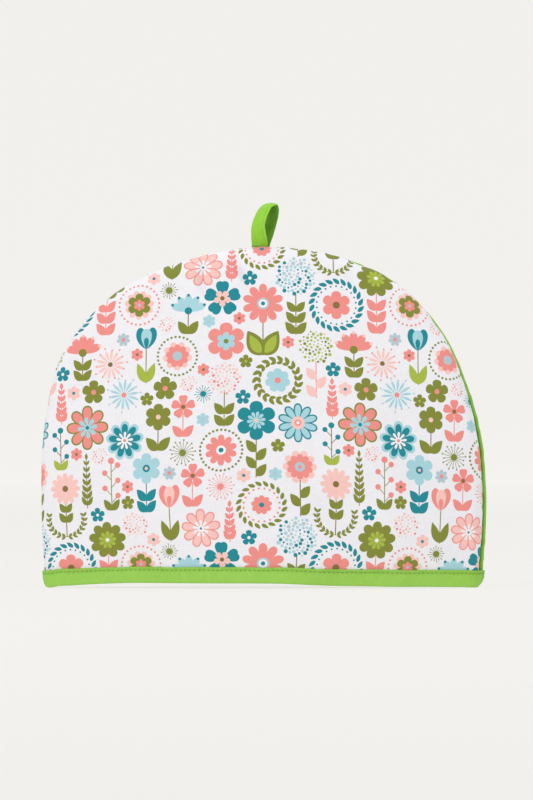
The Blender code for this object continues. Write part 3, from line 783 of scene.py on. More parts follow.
def surround(outlines, clear=1.15, cell=0.4):
    """Smooth closed lines round a design, a little outside its outlines."""
    pts = np.concatenate([np.concatenate([p, (p + np.roll(p, -1, 0)) / 2]) for p, _ in outlines])
    low = pts.min(0) - clear - 3 * cell
    size = np.ceil((pts.max(0) + clear + 3 * cell - low) / cell).astype(int)
    mask = np.zeros((size[0], size[1]), bool)
    n = int(clear / cell) + 1
    at = np.floor((pts - low) / cell).astype(int)
    for i in range(-n, n + 1):
        for j in range(-n, n + 1):
            if (i * i + j * j) * cell * cell <= clear * clear:
                mask[at[:, 0] + i, at[:, 1] + j] = True
    outside = np.zeros_like(mask)
    outside[0] = outside[-1] = True
    outside[:, 0] = outside[:, -1] = True
    while True:
        new = outside.copy()
        new[1:] |= outside[:-1]
        new[:-1] |= outside[1:]
        new[:, 1:] |= outside[:, :-1]
        new[:, :-1] |= outside[:, 1:]
        new &= ~mask
        new |= outside
        if (new == outside).all():
            break
        outside = new
    mask = ~outside
    for _ in range(3):  # cells that touch only at a corner are joined
        a, b, c, d = mask[:-1, :-1], mask[1:, :-1], mask[:-1, 1:], mask[1:, 1:]
        cross = (a & d & ~b & ~c) | (b & c & ~a & ~d)
        mask[:-1, :-1] |= cross
        mask[1:, :-1] |= cross
        mask[:-1, 1:] |= cross
        mask[1:, 1:] |= cross
    edges = []
    for i, j in np.argwhere(mask):
        if not mask[i, j - 1]:
            edges.append(((i, j), (i + 1, j)))
        if not mask[i + 1, j]:
            edges.append(((i + 1, j), (i + 1, j + 1)))
        if not mask[i, j + 1]:
            edges.append(((i + 1, j + 1), (i, j + 1)))
        if not mask[i - 1, j]:
            edges.append(((i, j + 1), (i, j)))
    lines = []
    for loop in loops_of(edges):
        line = np.array(loop) * cell + low
        for _ in range(6):
            line = (np.roll(line, 1, 0) + np.roll(line, -1, 0) + 2 * line) / 4
        step = max(1, len(line) // max(8, int(len(line) * cell / 1.7)))
        lines.append(line[::step])
    return lines


def rim_of(tris):
    """The vertices round the edge of a flat set of triangles, anticlockwise, for each separate edge."""
    e = np.concatenate([tris[:, [0, 1]], tris[:, [1, 2]], tris[:, [2, 0]]]).astype(np.int64)
    big = int(e.max()) + 1
    forward, backward = e[:, 0] * big + e[:, 1], e[:, 1] * big + e[:, 0]
    lone = e[~np.isin(forward, backward)]
    return loops_of([(int(p), int(q)) for p, q in lone])


def hex_grid(step, width, height, seed):
    rng = np.random.default_rng(seed)
    rows = []
    for j, y in enumerate(np.arange(step * 0.6, height, step * 0.866)):
        xs = np.arange(-width, width, step) + (step / 2 if j % 2 else 0)
        rows.append(np.stack([xs, np.full_like(xs, y)], 1))
    grid = np.concatenate(rows)
    return grid + rng.uniform(-0.12, 0.12, grid.shape) * step


def edge_line(dome, step_seam, step_hem):
    """The flat panel's own outline: along the hem to the right, then over the arch to the left."""
    width_r, width_l = float(dome.length(0.0)), float(dome.length(math.pi))
    n = int((width_r + width_l) / step_hem)
    hem = np.stack([np.linspace(-width_l, width_r, n + 1)[:-1], np.zeros(n)], 1)
    a = np.linspace(0, math.pi, 4000)
    x, y = dome.length(a) * np.cos(a), dome.length(a) * np.sin(a)
    run = np.concatenate([[0], np.cumsum(np.hypot(np.diff(x), np.diff(y)))])
    m = int(run[-1] / step_seam)
    at = np.interp(np.linspace(0, run[-1], m + 1), run, a)[:-1]
    arch = np.stack([dome.length(at) * np.cos(at), dome.length(at) * np.sin(at)], 1)
    arch[0, 1] = 0.0
    return np.concatenate([hem, arch])


def edge_rings(dome, away, step):
    """Points that follow the sewn edge, at distances away from it."""
    rings = []
    for k, d in enumerate(away):
        a = np.linspace(0, math.pi, 3000)
        s = dome.length(a) - d
        x, y = s * np.cos(a), s * np.sin(a)
        run = np.concatenate([[0], np.cumsum(np.hypot(np.diff(x), np.diff(y)))])
        at = np.interp(np.arange(step * (0.5 + 0.5 * (k % 2)), run[-1] - step * 0.4, step), run, a)
        s = dome.length(at) - d
        rings.append(np.stack([s * np.cos(at), s * np.sin(at)], 1))
    points = np.concatenate(rings)
    return points[points[:, 1] > 0.7]


def inside_line(dome, points, away):
    a, s = polar(points)
    return points[(dome.length(a) - s > away) & (points[:, 1] > 0.9)]


def write_mesh(name, verts, faces, normals=None, corner_normals=None, colours=None, uvs=None, material=None):
    """verts in mm. faces an array of triangles or quads. uvs: name -> per corner array."""
    mesh = bpy.data.meshes.new(name)
    faces = np.asarray(faces, dtype=np.int32)
    sides = faces.shape[1]
    mesh.vertices.add(len(verts))
    mesh.vertices.foreach_set("co", (np.asarray(verts, np.float64) * MM).astype(np.float32).ravel())
    mesh.loops.add(faces.size)
    mesh.loops.foreach_set("vertex_index", faces.ravel())
    mesh.polygons.add(len(faces))
    mesh.polygons.foreach_set("loop_start", np.arange(0, faces.size, sides, dtype=np.int32))
    mesh.update(calc_edges=True)
    for key, values in (uvs or {}).items():
        layer = mesh.uv_layers.new(name=key)
        layer.data.foreach_set("uv", np.asarray(values, np.float32).ravel())
    if colours is not None:
        # the corner colours: print and cloth colour, with painted shade in places
        layer = mesh.color_attributes.new("dye_and_shade", "FLOAT_COLOR", "CORNER")
        rgba = np.ones((faces.size, 4), np.float32)
        rgba[:, :3] = colours
        layer.data.foreach_set("color", rgba.ravel())
    mesh.validate()
    mesh.polygons.foreach_set("use_smooth", np.ones(len(mesh.polygons), bool))
    if corner_normals is not None:
        mesh.normals_split_custom_set(corner_normals.tolist())
    elif normals is not None:
        mesh.normals_split_custom_set_from_vertices(normals.tolist())
    mesh.update()
    obj = bpy.data.objects.new(name, mesh)
    bpy.context.scene.collection.objects.link(obj)
    if material is not None:
        mesh.materials.append(material)
    return obj


def back_tone(dome, a, s, plain):
    """The plain cloth's colour: painted shade deeper in the seam and in the folds, painted light on the ridges, and
    paler where the padded roll and the ridges rub.
    """
    away = dome.length(a) - s
    r = dome.look(dome.r, a, s / dome.length(a))
    x, z = r * np.cos(a), r * np.sin(a)
    height = relief(dome.side, x, z, away, a * 230.0)
    # painted shade and light: darker in the fold troughs and lighter on the ridges, by the relief's height; the two
    # slow sines are uneven dye
    shade = 1.0 + 0.075 * np.clip(height / 1.1, -1, 1) + 0.022 * np.sin(x / 31.0 + 1.3 * np.sin(z / 43.0)) + 0.018 * np.sin(z / 24.0 + 0.8 * np.sin(x / 37.0))
    worn = 0.20 * np.exp(-(((away - ROLL_CREST) / 3.2) ** 2)) * (0.75 + 0.25 * np.sin(a * 31.0) * np.sin(a * 13.0 + 1.0))
    worn = worn + 0.10 * smooth((height - 0.35) / 0.7) * smooth((away - 10) / 8)
    tone = plain * shade[:, None]
    tone = tone * (1 - worn[:, None]) + WORN_LIME * worn[:, None]
    # painted shade in the seam: the colour darkens to a deep lime towards the sewn edge
    deep = 1 - smooth((away - SEAM_SHADE_SPAN[0]) / (SEAM_SHADE_SPAN[1] - SEAM_SHADE_SPAN[0]))
    return tone * (1 - deep[:, None]) + SEAM_SHADE_LIME * deep[:, None]


def painted_fold_shade(dome, a, s):
    """Painted shade: a little deeper and cooler down in the folds, where the light is cut off."""
    away = dome.length(a) - s
    r = dome.look(dome.r, a, s / dome.length(a))
    height = relief(dome.side, r * np.cos(a), r * np.sin(a), away, a * 230.0)
    return 1 - smooth((-height - 0.12) / 1.15)[:, None] * np.array([0.125, 0.11, 0.08])


def make_cover(name, side, shapes, colours, plain, lining, step, material, tone=None):
    """A panel as cloth: outer face with its print, inner face, and the rim that joins them."""
    dome = Dome(side)
    border = edge_line(dome, 1.5 if shapes else 2.0, 2.4)
    rings = edge_rings(dome, (0.8, 1.9, 3.0, 4.1, 5.2, 6.4, 7.6, 8.9, 10.3, 11.8, 13.4, 15.2, 17.2, 19.4) if shapes else (0.8, 1.6, 2.4, 3.2, 4.0, 4.8, 5.6, 6.5, 7.6, 8.9, 10.5, 12.6, 15.2, 18.0), 2.0 if shapes else 2.2)
    grid = inside_line(dome, hex_grid(step, 210, 330, 5), 20.5 if shapes else 19.5)
    hem_rows = inside_line(dome, np.stack(np.meshgrid(np.arange(-176, 176, 1.7), np.arange(13.0, 26.0, 1.6)), -1).reshape(-1, 2), 20.5)
    if len(hem_rows):
        grid = grid[(grid[:, 1] < 12.0) | (grid[:, 1] > 27.0)]
        free = np.concatenate([rings, grid, hem_rows])
    else:
        free = np.concatenate([rings, grid])
    # Each design is set in a patch of its own: the cloth round the patches first, then each patch.
    patches = []
    for skirts, outlines in shapes:
        for skirt in skirts:
            pa, ps = polar(skirt)
            if ((ps < dome.length(pa)) & (skirt[:, 1] > 0)).any():
                patches.append((skirt, outlines))
    faces, points, count = [list(range(len(border)))], [border], len(border)
    owner = np.full(len(free), -1)
    for k, (skirt, _) in enumerate(patches):
        points.append(skirt)
        faces.append(list(range(count, count + len(skirt))))
        count += len(skirt)
        box = ((free > skirt.min(0)) & (free < skirt.max(0))).all(1) & (owner < 0)
        owner[np.nonzero(box)[0][inside_polygon(free[box], skirt)]] = k
    lines = np.concatenate(points)
    open_cloth = keep_off(free[owner < 0], lines, 0.7)
    flat, tris, top, _ = triangles_of(np.concatenate([lines, open_cloth]), faces)
    flats, all_tris, all_dyes = [flat], [tris[top == 0]], [np.tile(plain, (int((top == 0).sum()), 1))]
    count = len(flat)
    for k, (skirt, outlines) in enumerate(patches):
        region = tris[top == k + 1]
        if not len(region):
            continue
        for ring in rim_of(region):
            local = [flat[ring]]
            faces, size = [list(range(len(ring)))], len(ring)
            dyes = [plain]
            low, high = flat[ring].min(0), flat[ring].max(0)
            for outline_points, colour in outlines:
                if (outline_points.max(0) > low).all() and (outline_points.min(0) < high).all():
                    local.append(outline_points)
                    faces.append(list(range(size, size + len(outline_points))))
                    size += len(outline_points)
                    dyes.append(colours[colour])
            local = np.concatenate(local)
            extra = free[owner == k]
            if len(extra):
                extra = extra[inside_polygon(extra, flat[ring])]
            if len(extra):
                extra = keep_off(extra, local, 0.55).reshape(-1, 2)
                local = np.concatenate([local, extra])
            part, part_tris, part_top, source = triangles_of(local, faces)
            index = np.empty(len(part), int)
            fresh = []
            for v, from_points in enumerate(source):
                old = [q for q in from_points if q < len(ring)]
                if old:
                    index[v] = ring[old[0]]
                else:
                    index[v] = count + len(fresh)
                    fresh.append(v)
            flats.append(part[fresh])
            count += len(fresh)
            all_tris.append(index[part_tris])
            all_dyes.append(np.array(dyes)[part_top])
    flat, tris, dyes = np.concatenate(flats), np.concatenate(all_tris), np.concatenate(all_dyes)
    # weld points that fell on one spot, and drop the triangles that this closes
    tree = kdtree.KDTree(len(flat))
    for k, p in enumerate(flat):
        tree.insert((p[0], p[1], 0), k)
    tree.balance()
    same = np.array([min(hit[1] for hit in tree.find_range((p[0], p[1], 0), 0.004)) for p in flat])
    tris = same[tris]
    whole = (tris[:, 0] != tris[:, 1]) & (tris[:, 1] != tris[:, 2]) & (tris[:, 2] != tris[:, 0])
    tris, dyes = tris[whole], dyes[whole]
    # drop vertices that no triangle uses
    used = np.zeros(len(flat), bool)
    used[tris.ravel()] = True
    renumber = np.cumsum(used) - 1
    flat, tris = flat[used], renumber[tris]
    a, s = polar(flat)
    f = s / dome.length(a)
    outer = dome.face(a, f)
    outer_n = dome.facing(dome.face, a, f)
    rims = rim_of(tris)
    if len(rims) != 1:
        print("WARNING", name, "has", len(rims), "edges:", sorted(len(r) for r in rims)[-6:], [flat[r[0]].round(2).tolist() for r in rims[:4]])
    loop = max(rims, key=len)

    # inner face: the same rim, and a wider net
    rim_flat = flat[loop]
    inner_free = inside_line(dome, hex_grid(7.0, 210, 330, 9), 12.0)
    inner_free = np.concatenate([inner_free, edge_rings(dome, (2.5, 5.5, 9.0), 5.0)])
    inner_free = keep_off(inner_free, rim_flat, 1.6)
    net, inner_tris, _, _ = triangles_of(np.concatenate([rim_flat, inner_free]), [list(range(len(rim_flat)))])
    ia, i_s = polar(net)
    i_f = i_s / dome.length(ia)
    inner = dome.inside(ia, i_f)
    inner_n = -dome.facing(dome.inside, ia, i_f)
    tree = kdtree.KDTree(len(net))
    for k, p in enumerate(net):
        tree.insert((p[0], p[1], 0), k)
    tree.balance()
    partner = [tree.find((p[0], p[1], 0))[1] for p in rim_flat]

    base = len(outer)
    rim_faces = []
    for k in range(len(loop)):
        n = (k + 1) % len(loop)
        o0, o1, i0, i1 = loop[k], loop[n], base + partner[k], base + partner[n]
        rim_faces += [(o1, o0, i0), (o1, i0, i1)]
    all_faces = np.concatenate([tris, inner_tris[:, ::-1] + base, np.array(rim_faces)])
    if side > 0:
        all_faces = all_faces[:, ::-1]
    verts = np.concatenate([outer, inner])
    normals = np.concatenate([outer_n, inner_n])

    # colours by face
    face_colour = np.concatenate([dyes, np.tile(lining, (len(inner_tris), 1)), np.tile(lining, (len(rim_faces), 1))])
    corner_colour = np.repeat(face_colour, 3, 0)
    # painted shade: the back's tone paints shade into its seam and folds, and the front's print is darkened in its
    # folds
    if tone is not None:
        turned = tris[:, ::-1] if side > 0 else tris
        corner_colour[: 3 * len(tris)] = tone(dome, a, s, plain)[turned.ravel()]
    else:
        corner_colour[: 3 * len(tris)] *= painted_fold_shade(dome, a, s)[tris.ravel()]

    # rim faces take their own flat normals, so the sewn edge stays crisp
    corners = normals[all_faces]
    tail = slice(len(tris) + len(inner_tris), None)
    p = verts[all_faces[tail]]
    flat_n = unit(np.cross(p[:, 1] - p[:, 0], p[:, 2] - p[:, 0]))
    corners[tail] = flat_n[:, None]

    # UV maps: the cloth in mm, and a sheet for baking with outer face, rim and inner face side by side
    cloth = np.concatenate([flat, net])
    cloth_uv = cloth[all_faces].reshape(-1, 2) * 0.001
    low, high = flat.min(0), flat.max(0)
    size = (high - low).max()
    sheet = np.concatenate([(flat - low) / size * 0.976 + (0.012, 0.012), (net - low) / (high - low) * (0.976, 0.135) + (0.012, 0.853)])
    sheet_uv = sheet[all_faces]
    lanes = np.zeros((len(rim_faces), 3, 2))
    step_u = 0.976 / len(loop)
    for k in range(len(loop)):
        x0, x1, y0, y1 = 0.012 + step_u * k, 0.012 + step_u * (k + 1), 0.832, 0.842
        lanes[2 * k] = ((x1, y0), (x0, y0), (x0, y1))
        lanes[2 * k + 1] = ((x1, y0), (x0, y1), (x1, y1))
    if side > 0:
        lanes = lanes[:, ::-1]
    sheet_uv[tail] = lanes
    obj = write_mesh(
        name, verts, all_faces, corner_normals=corners.reshape(-1, 3), colours=corner_colour,
        uvs={"OFBake": sheet_uv.reshape(-1, 2), "cloth": cloth_uv}, material=material,
    )
    print(name, len(verts), "points", len(all_faces), "triangles", "sheet height", round(float(sheet[: len(flat), 1].max()), 3))
    return obj, dome


# ---- Materials --------------------------------------------------------------
class Nodes:
    """A small helper: each call adds a node and links what it is given."""

    def __init__(self, material):
        material.use_nodes = True
        self.tree = material.node_tree
        self.shader = self.tree.nodes["Principled BSDF"]

    def put(self, socket, value):
        if hasattr(value, "is_output"):
            self.tree.links.new(value, socket)
        elif hasattr(socket, "default_value"):
            socket.default_value = value

    def math(self, operation, a, b=0.0, c=0.0):
        node = self.tree.nodes.new("ShaderNodeMath")
        node.operation = operation
        for k, value in enumerate((a, b, c)):
            self.put(node.inputs[k], value)
        return node.outputs[0]

    def noise(self, where, scale, detail=2.0, roughness=0.5):
        node = self.tree.nodes.new("ShaderNodeTexNoise")
        self.put(node.inputs["Vector"], where)
        node.inputs["Scale"].default_value = scale
        node.inputs["Detail"].default_value = detail
        node.inputs["Roughness"].default_value = roughness
        return node.outputs["Fac"]

    def stretched(self, where, scale):
        node = self.tree.nodes.new("ShaderNodeMapping")
        self.put(node.inputs["Vector"], where)
        node.inputs["Scale"].default_value = scale
        return node.outputs[0]

    def ramp(self, value, low, high, to_low, to_high):
        node = self.tree.nodes.new("ShaderNodeMapRange")
        for key, v in (("Value", value), ("From Min", low), ("From Max", high), ("To Min", to_low), ("To Max", to_high)):
            self.put(node.inputs[key], v)
        return node.outputs[0]

    def mix(self, factor, a, b, kind="MIX"):
        node = self.tree.nodes.new("ShaderNodeMix")
        node.data_type = "RGBA"
        node.blend_type = kind
        self.put(node.inputs["Factor"], factor)
        colours = [s for s in node.inputs if s.type == "RGBA"]
        self.put(colours[0], a)
        self.put(colours[1], b)
        return [s for s in node.outputs if s.type == "RGBA"][0]

    def grey(self, value):
        node = self.tree.nodes.new("ShaderNodeCombineColor")
        for k in range(3):
            self.put(node.inputs[k], value)
        return node.outputs[0]


def woven(name, colour=None, pitch=0.00052, deep=0.00007, mottle=0.05, thread=0.10, roughness=0.86, sheen=0.18, tint=(1, 1, 1), uv="cloth", faded=None):
    """Plain-woven cotton: threads over and under each other, slubs, and a dye that took a little unevenly."""
    material = bpy.data.materials.new(name)
    n = Nodes(material)
    where = n.tree.nodes.new("ShaderNodeUVMap")
    where.uv_map = uv
    where = where.outputs[0]
    split = n.tree.nodes.new("ShaderNodeSeparateXYZ")
    n.put(split.inputs[0], where)
    x = n.math("MULTIPLY", split.outputs[0], math.pi / pitch)
    y = n.math("MULTIPLY", split.outputs[1], math.pi / pitch)
    wobble = n.noise(where, 900.0, 1.0)
    x = n.math("ADD", x, n.math("MULTIPLY", wobble, 0.9))
    y = n.math("ADD", y, n.math("MULTIPLY", wobble, 0.9))
    sx, sy = n.math("SINE", x), n.math("SINE", y)
    ax, ay = n.math("ABSOLUTE", sx), n.math("ABSOLUTE", sy)
    over = n.math("MULTIPLY", sx, sy)
    height = n.math("ADD", n.math("MULTIPLY", ax, ay), n.math("MULTIPLY", n.math("MULTIPLY", over, n.math("SUBTRACT", ax, ay)), 0.6))
    # thicker threads here and there, across and along
    slub = n.math("ADD", n.noise(n.stretched(where, (1.0, 14.0, 1.0)), 90.0, 2.0), n.noise(n.stretched(where, (14.0, 1.0, 1.0)), 90.0, 2.0))
    height = n.math("ADD", height, n.math("MULTIPLY", slub, 0.55))
    bump = n.tree.nodes.new("ShaderNodeBump")
    bump.inputs["Strength"].default_value = 0.55
    bump.inputs["Distance"].default_value = deep
    n.put(bump.inputs["Height"], height)
    soft = n.tree.nodes.new("ShaderNodeBump")
    soft.inputs["Strength"].default_value = 0.35
    soft.inputs["Distance"].default_value = 0.0005
    n.put(soft.inputs["Height"], n.noise(where, 210.0, 3.0, 0.55))
    n.put(soft.inputs["Normal"], bump.outputs[0])
    n.put(n.shader.inputs["Normal"], soft.outputs[0])

    if colour is None:
        # the corner colours carry painted shade as well as print and cloth colour
        dye_and_shade = n.tree.nodes.new("ShaderNodeVertexColor")
        dye_and_shade.layer_name = "dye_and_shade"
        base = dye_and_shade.outputs[0]
    else:
        base = (*colour, 1.0)
    patch = n.ramp(n.noise(where, 26.0, 3.0, 0.55), 0.3, 0.7, 1 - mottle, 1 + mottle * 0.5)
    line = n.ramp(slub, 0.7, 1.3, 1 - thread * 0.6, 1 + thread * 0.35)
    gap = n.ramp(height, 0.1, 1.3, 1 - thread, 1.0)
    shade = n.math("MULTIPLY", n.math("MULTIPLY", patch, line), gap)
    out = n.mix(1.0, base, n.grey(shade), "MULTIPLY")
    if faded is not None:
        wear = n.ramp(n.noise(where, 60.0, 4.0, 0.6), 0.45, 0.75, 0.0, 0.30)
        out = n.mix(wear, out, (*faded, 1.0))
    n.put(n.shader.inputs["Base Color"], out)
    n.put(n.shader.inputs["Roughness"], n.ramp(height, 0.0, 1.4, roughness + 0.06, roughness - 0.06))
    n.shader.inputs["Sheen Weight"].default_value = sheen
    n.shader.inputs["Sheen Roughness"].default_value = 0.45
    n.shader.inputs["Sheen Tint"].default_value = (*tint, 1.0)
    n.shader.inputs["Specular IOR Level"].default_value = 0.22
    return material


def spun(name, colour):
    """Sewing thread: two plies twisted round each other."""
    material = bpy.data.materials.new(name)
    n = Nodes(material)
    where = n.tree.nodes.new("ShaderNodeUVMap")
    where.uv_map = "cloth"
    split = n.tree.nodes.new("ShaderNodeSeparateXYZ")
    n.put(split.inputs[0], where.outputs[0])
    turn = n.math("ADD", n.math("MULTIPLY", split.outputs[0], TAU / 0.0007), n.math("MULTIPLY", split.outputs[1], TAU))
    ply = n.math("ABSOLUTE", n.math("SINE", turn))
    bump = n.tree.nodes.new("ShaderNodeBump")
    bump.inputs["Strength"].default_value = 0.6
    bump.inputs["Distance"].default_value = 0.00006
    n.put(bump.inputs["Height"], ply)
    n.put(n.shader.inputs["Normal"], bump.outputs[0])
    shade = n.ramp(ply, 0.0, 1.0, 0.72, 1.06)
    n.put(n.shader.inputs["Base Color"], n.mix(1.0, (*colour, 1.0), n.grey(shade), "MULTIPLY"))
    n.shader.inputs["Roughness"].default_value = 0.6
    n.shader.inputs["Sheen Weight"].default_value = 0.15
    return material


# ---- Colours ----------------------------------------------------------------
GROUND = srgb(238, 237, 242)
DYES = {
    "coral": srgb(239, 145, 139), "blush": srgb(247, 199, 192), "teal": srgb(32, 138, 150), "aqua": srgb(169, 212, 222), "olive": srgb(132, 138, 56),
    "leaf": srgb(168, 185, 72), "grey": srgb(180, 200, 210), "brown": srgb(136, 112, 66), "white": srgb(241, 240, 244),
}
LINING = srgb(226, 220, 206)
LIME = srgb(136, 190, 66)
# the first colour is paler worn cloth; the second is the painted shade in the seam
WORN_LIME, SEAM_SHADE_LIME = np.array(srgb(166, 212, 104)), np.array(srgb(70, 128, 26))
ROLL_CREST, SEAM_SHADE_SPAN = 8.6, (1.2, 3.3)  # mm from the sewn edge: the roll's crest, and where the painted seam shade ends
LIME_TAPE = srgb(153, 205, 86)
LIME_LOOP = srgb(151, 214, 64)
THREAD = srgb(98, 148, 44)

printed = woven("printed cotton", None, mottle=0.022, thread=0.055, sheen=0.10)
plain = woven("lime cotton", None, mottle=0.06, thread=0.11, sheen=0.13, tint=(0.7, 1.0, 0.5))
tape = woven("lime binding", None, pitch=0.00046, mottle=0.05, thread=0.09, sheen=0.12, tint=(0.6, 1.0, 0.4), faded=srgb(162, 212, 104))
strip = woven("lime loop tape", None, pitch=0.00046, mottle=0.05, thread=0.09, sheen=0.22, tint=(0.9, 1.0, 0.7), faded=srgb(158, 214, 84))
thread = spun("green thread", THREAD)

# ---- The two panels ---------------------------------------------------------
designs = motifs()
skirts = {name: surround(outlines) for name, outlines in designs.items()}
shapes = []
for name, px, py in lay_out(designs):
    for ix in range(-2, 2):
        for iy in range(-1, 3):
            dx, dy = px + ix * TILE_W + PRINT_X, py + iy * TILE_H + PRINT_Z
            if -215 < dx < 215 and -40 < dy < 330:
                shapes.append(([line + (dx, dy) for line in skirts[name]], shifted(designs[name], dx, dy)))

front, front_dome = make_cover("front_cover", -1, shapes, DYES, GROUND, LINING, 3.2, printed)
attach(front, "root")
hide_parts("front_panel")

back, back_dome = make_cover("back_cover", 1, [], DYES, LIME, LINING, 3.6, plain, back_tone)
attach(back, "root")
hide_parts("back_panel")


# ---- The binding ------------------------------------------------------------
def at_height(radius_of, z, right):
    turn = np.zeros(1)
    for _ in range(7):
        radius = radius_of(turn if right else math.pi - turn)
        turn = np.arcsin(np.clip(z / np.maximum(radius, z + 1.0), -1, 1))
    return turn if right else math.pi - turn


def outer_line(z, side, away):
    q = np.concatenate([np.linspace(0, 1, 60), np.linspace(1, 2, 26)[1:]])

    def radius_of(a):
        edge = outline(a, side)
        turn = (2 - np.maximum(q, 1)) * math.pi / 2
        return np.where(q <= 1, (edge - ROUND_REACH) * q, edge - ROUND_REACH * (1 - np.cos(turn)))

    halves = []
    for right in (False, True):
        a = at_height(radius_of, z, right)
        r = radius_of(a)
        r[0] = 0.0
        halves.append(np.stack([r * np.cos(a), outer_depth(a, r, side)], 1))
    line = np.concatenate([halves[0][:0:-1], halves[1]])
    line[len(halves[0]) - 1, 0] = 0.0
    d = np.gradient(line, axis=0)
    d[0], d[-1] = (0.0, 1.0), (0.0, -1.0)
    d = unit(d)
    return line + np.stack([-d[:, 1], d[:, 0]], 1) * away


def inner_line(z, away):
    q = np.concatenate([np.linspace(0, 1, 60), np.linspace(1, 2, 26)[1:]])
    span = INNER_REACH - away - BIND_TIP

    def radius_of(a):
        edge = seam(a) - INNER_RIM - away - BIND_TIP
        r = np.where(q <= 1, (edge - span) * q, edge - span * (1 - np.sin(np.maximum(q - 1, 0) * math.pi / 2)))
        return np.maximum(r, z)

    halves = []
    for right in (False, True):
        a = at_height(radius_of, z, right)
        r = radius_of(a)
        a[0] = math.pi / 2
        r[0] = 0.0
        halves.append(np.stack([r * np.cos(a), inner_depth(a, r, away)], 1))
    return np.concatenate([halves[0][:0:-1], halves[1]])


def resampled(line, count, shift=0.0):
    """A closed line, evenly divided."""
    closed = np.concatenate([line, line[:1]])
    run = np.concatenate([[0], np.cumsum(np.linalg.norm(np.diff(closed, axis=0), axis=1))])
    at = (np.linspace(0, run[-1], count, endpoint=False) + shift) % run[-1]
    return np.stack([np.interp(at, run, closed[:, k]) for k in range(closed.shape[1])], 1), run[-1]


def softened(line, turns, amount=0.5):
    for _ in range(turns):
        line = line + amount * ((np.roll(line, 1, 0) + np.roll(line, -1, 0)) / 2 - line)
    return line


def bind_line(z, outside, away, count):
    """Closed line of the binding at height z, from the left end over the front to the right end and back."""
    lines = {side: outer_line(z, side, away) if outside else inner_line(z, away) for side in (-1, 1)}
    f, b = lines[-1] * (1, -1), (lines[1])[::-1]
    left, right = ((f[0] + b[-1]) / 2), ((f[-1] + b[0]) / 2)
    left[1] = right[1] = 0.0
    # each quarter is divided evenly on its own, so that the rows of unlike lines stay abreast
    def run(part, n):
        length = np.concatenate([[0], np.cumsum(np.linalg.norm(np.diff(part, axis=0), axis=1))])
        at = np.linspace(0, length[-1], n, endpoint=False)
        return np.stack([np.interp(at, length, part[:, k]) for k in range(2)], 1)

    half = count // 2
    front = run(np.concatenate([left[None], f, right[None]]), half)
    back = run(np.concatenate([right[None], b, left[None]]), half)
    return softened(np.concatenate([front, back]), 10 if outside else 4)


STITCH = 3.57  # from one stitch to the next
STITCH_DROP = 2.6  # the row's distance under the folded edge
ROW_Z = BIND_HEIGHT - STITCH_DROP


def bind_rows():
    """The folded strip's section, closed: outer face from the top fold down, under the hem, up inside, and back."""
    rows = []
    middle, half = BIND_GAP + BIND_THICK / 2, BIND_THICK / 2

    def leg(outside, top):
        out = []
        for t in (90, 62, 34, 10):
            c, s = math.cos(math.radians(t)), math.sin(math.radians(t))
            out.append((outside, middle + half * c, top - half + half * s))
        for z in (top - 1.0, top - 1.45, top - 1.9, top - 2.15, top - 2.35, top - 2.55, top - 2.8, top - 3.3, top - 4.0, top - 5.2, top - 6.6, top - 8.0, top - 9.4, top - 10.6):
            out.append((outside, BIND_GAP + BIND_THICK, z))
        for t in (0, 22, 45, 68, 90):
            c, s = math.cos(math.radians(t)), math.sin(math.radians(t))
            out.append((outside, BIND_GAP + BIND_THICK - BIND_CORNER * (1 - c), BIND_CORNER * (1 - s)))
        return out

    def near(outside, top):
        small = BIND_CORNER - BIND_THICK
        out = [(outside, middle - half * math.cos(math.radians(t)), top - half + half * math.sin(math.radians(t))) for t in (55, 10)]
        out += [(outside, BIND_GAP, top - 3.0), (outside, BIND_GAP, top - 7.5), (outside, BIND_GAP, 2.2)]
        out += [(outside, BIND_GAP - small * (1 - math.cos(math.radians(t))), BIND_CORNER - small * math.sin(math.radians(t))) for t in (30, 90)]
        return out

    outer, inner = leg(True, BIND_HEIGHT), leg(False, BIND_HEIGHT - BIND_INNER_SHORT)
    rows = [("far", *row, 0.0) for row in outer]
    rows += [("under", None, 0.0, 0.0, w) for w in (0.25, 0.5, 0.75)]
    rows += [("far", *row, 0.0) for row in inner[::-1]]
    rows += [("near", *row, 0.0) for row in near(False, BIND_HEIGHT - BIND_INNER_SHORT)]
    rows += [("above", None, 0.0, 1.2, w) for w in (0.33, 0.67)]
    rows += [("near", *row, 0.0) for row in near(True, BIND_HEIGHT)[::-1]]
    return rows


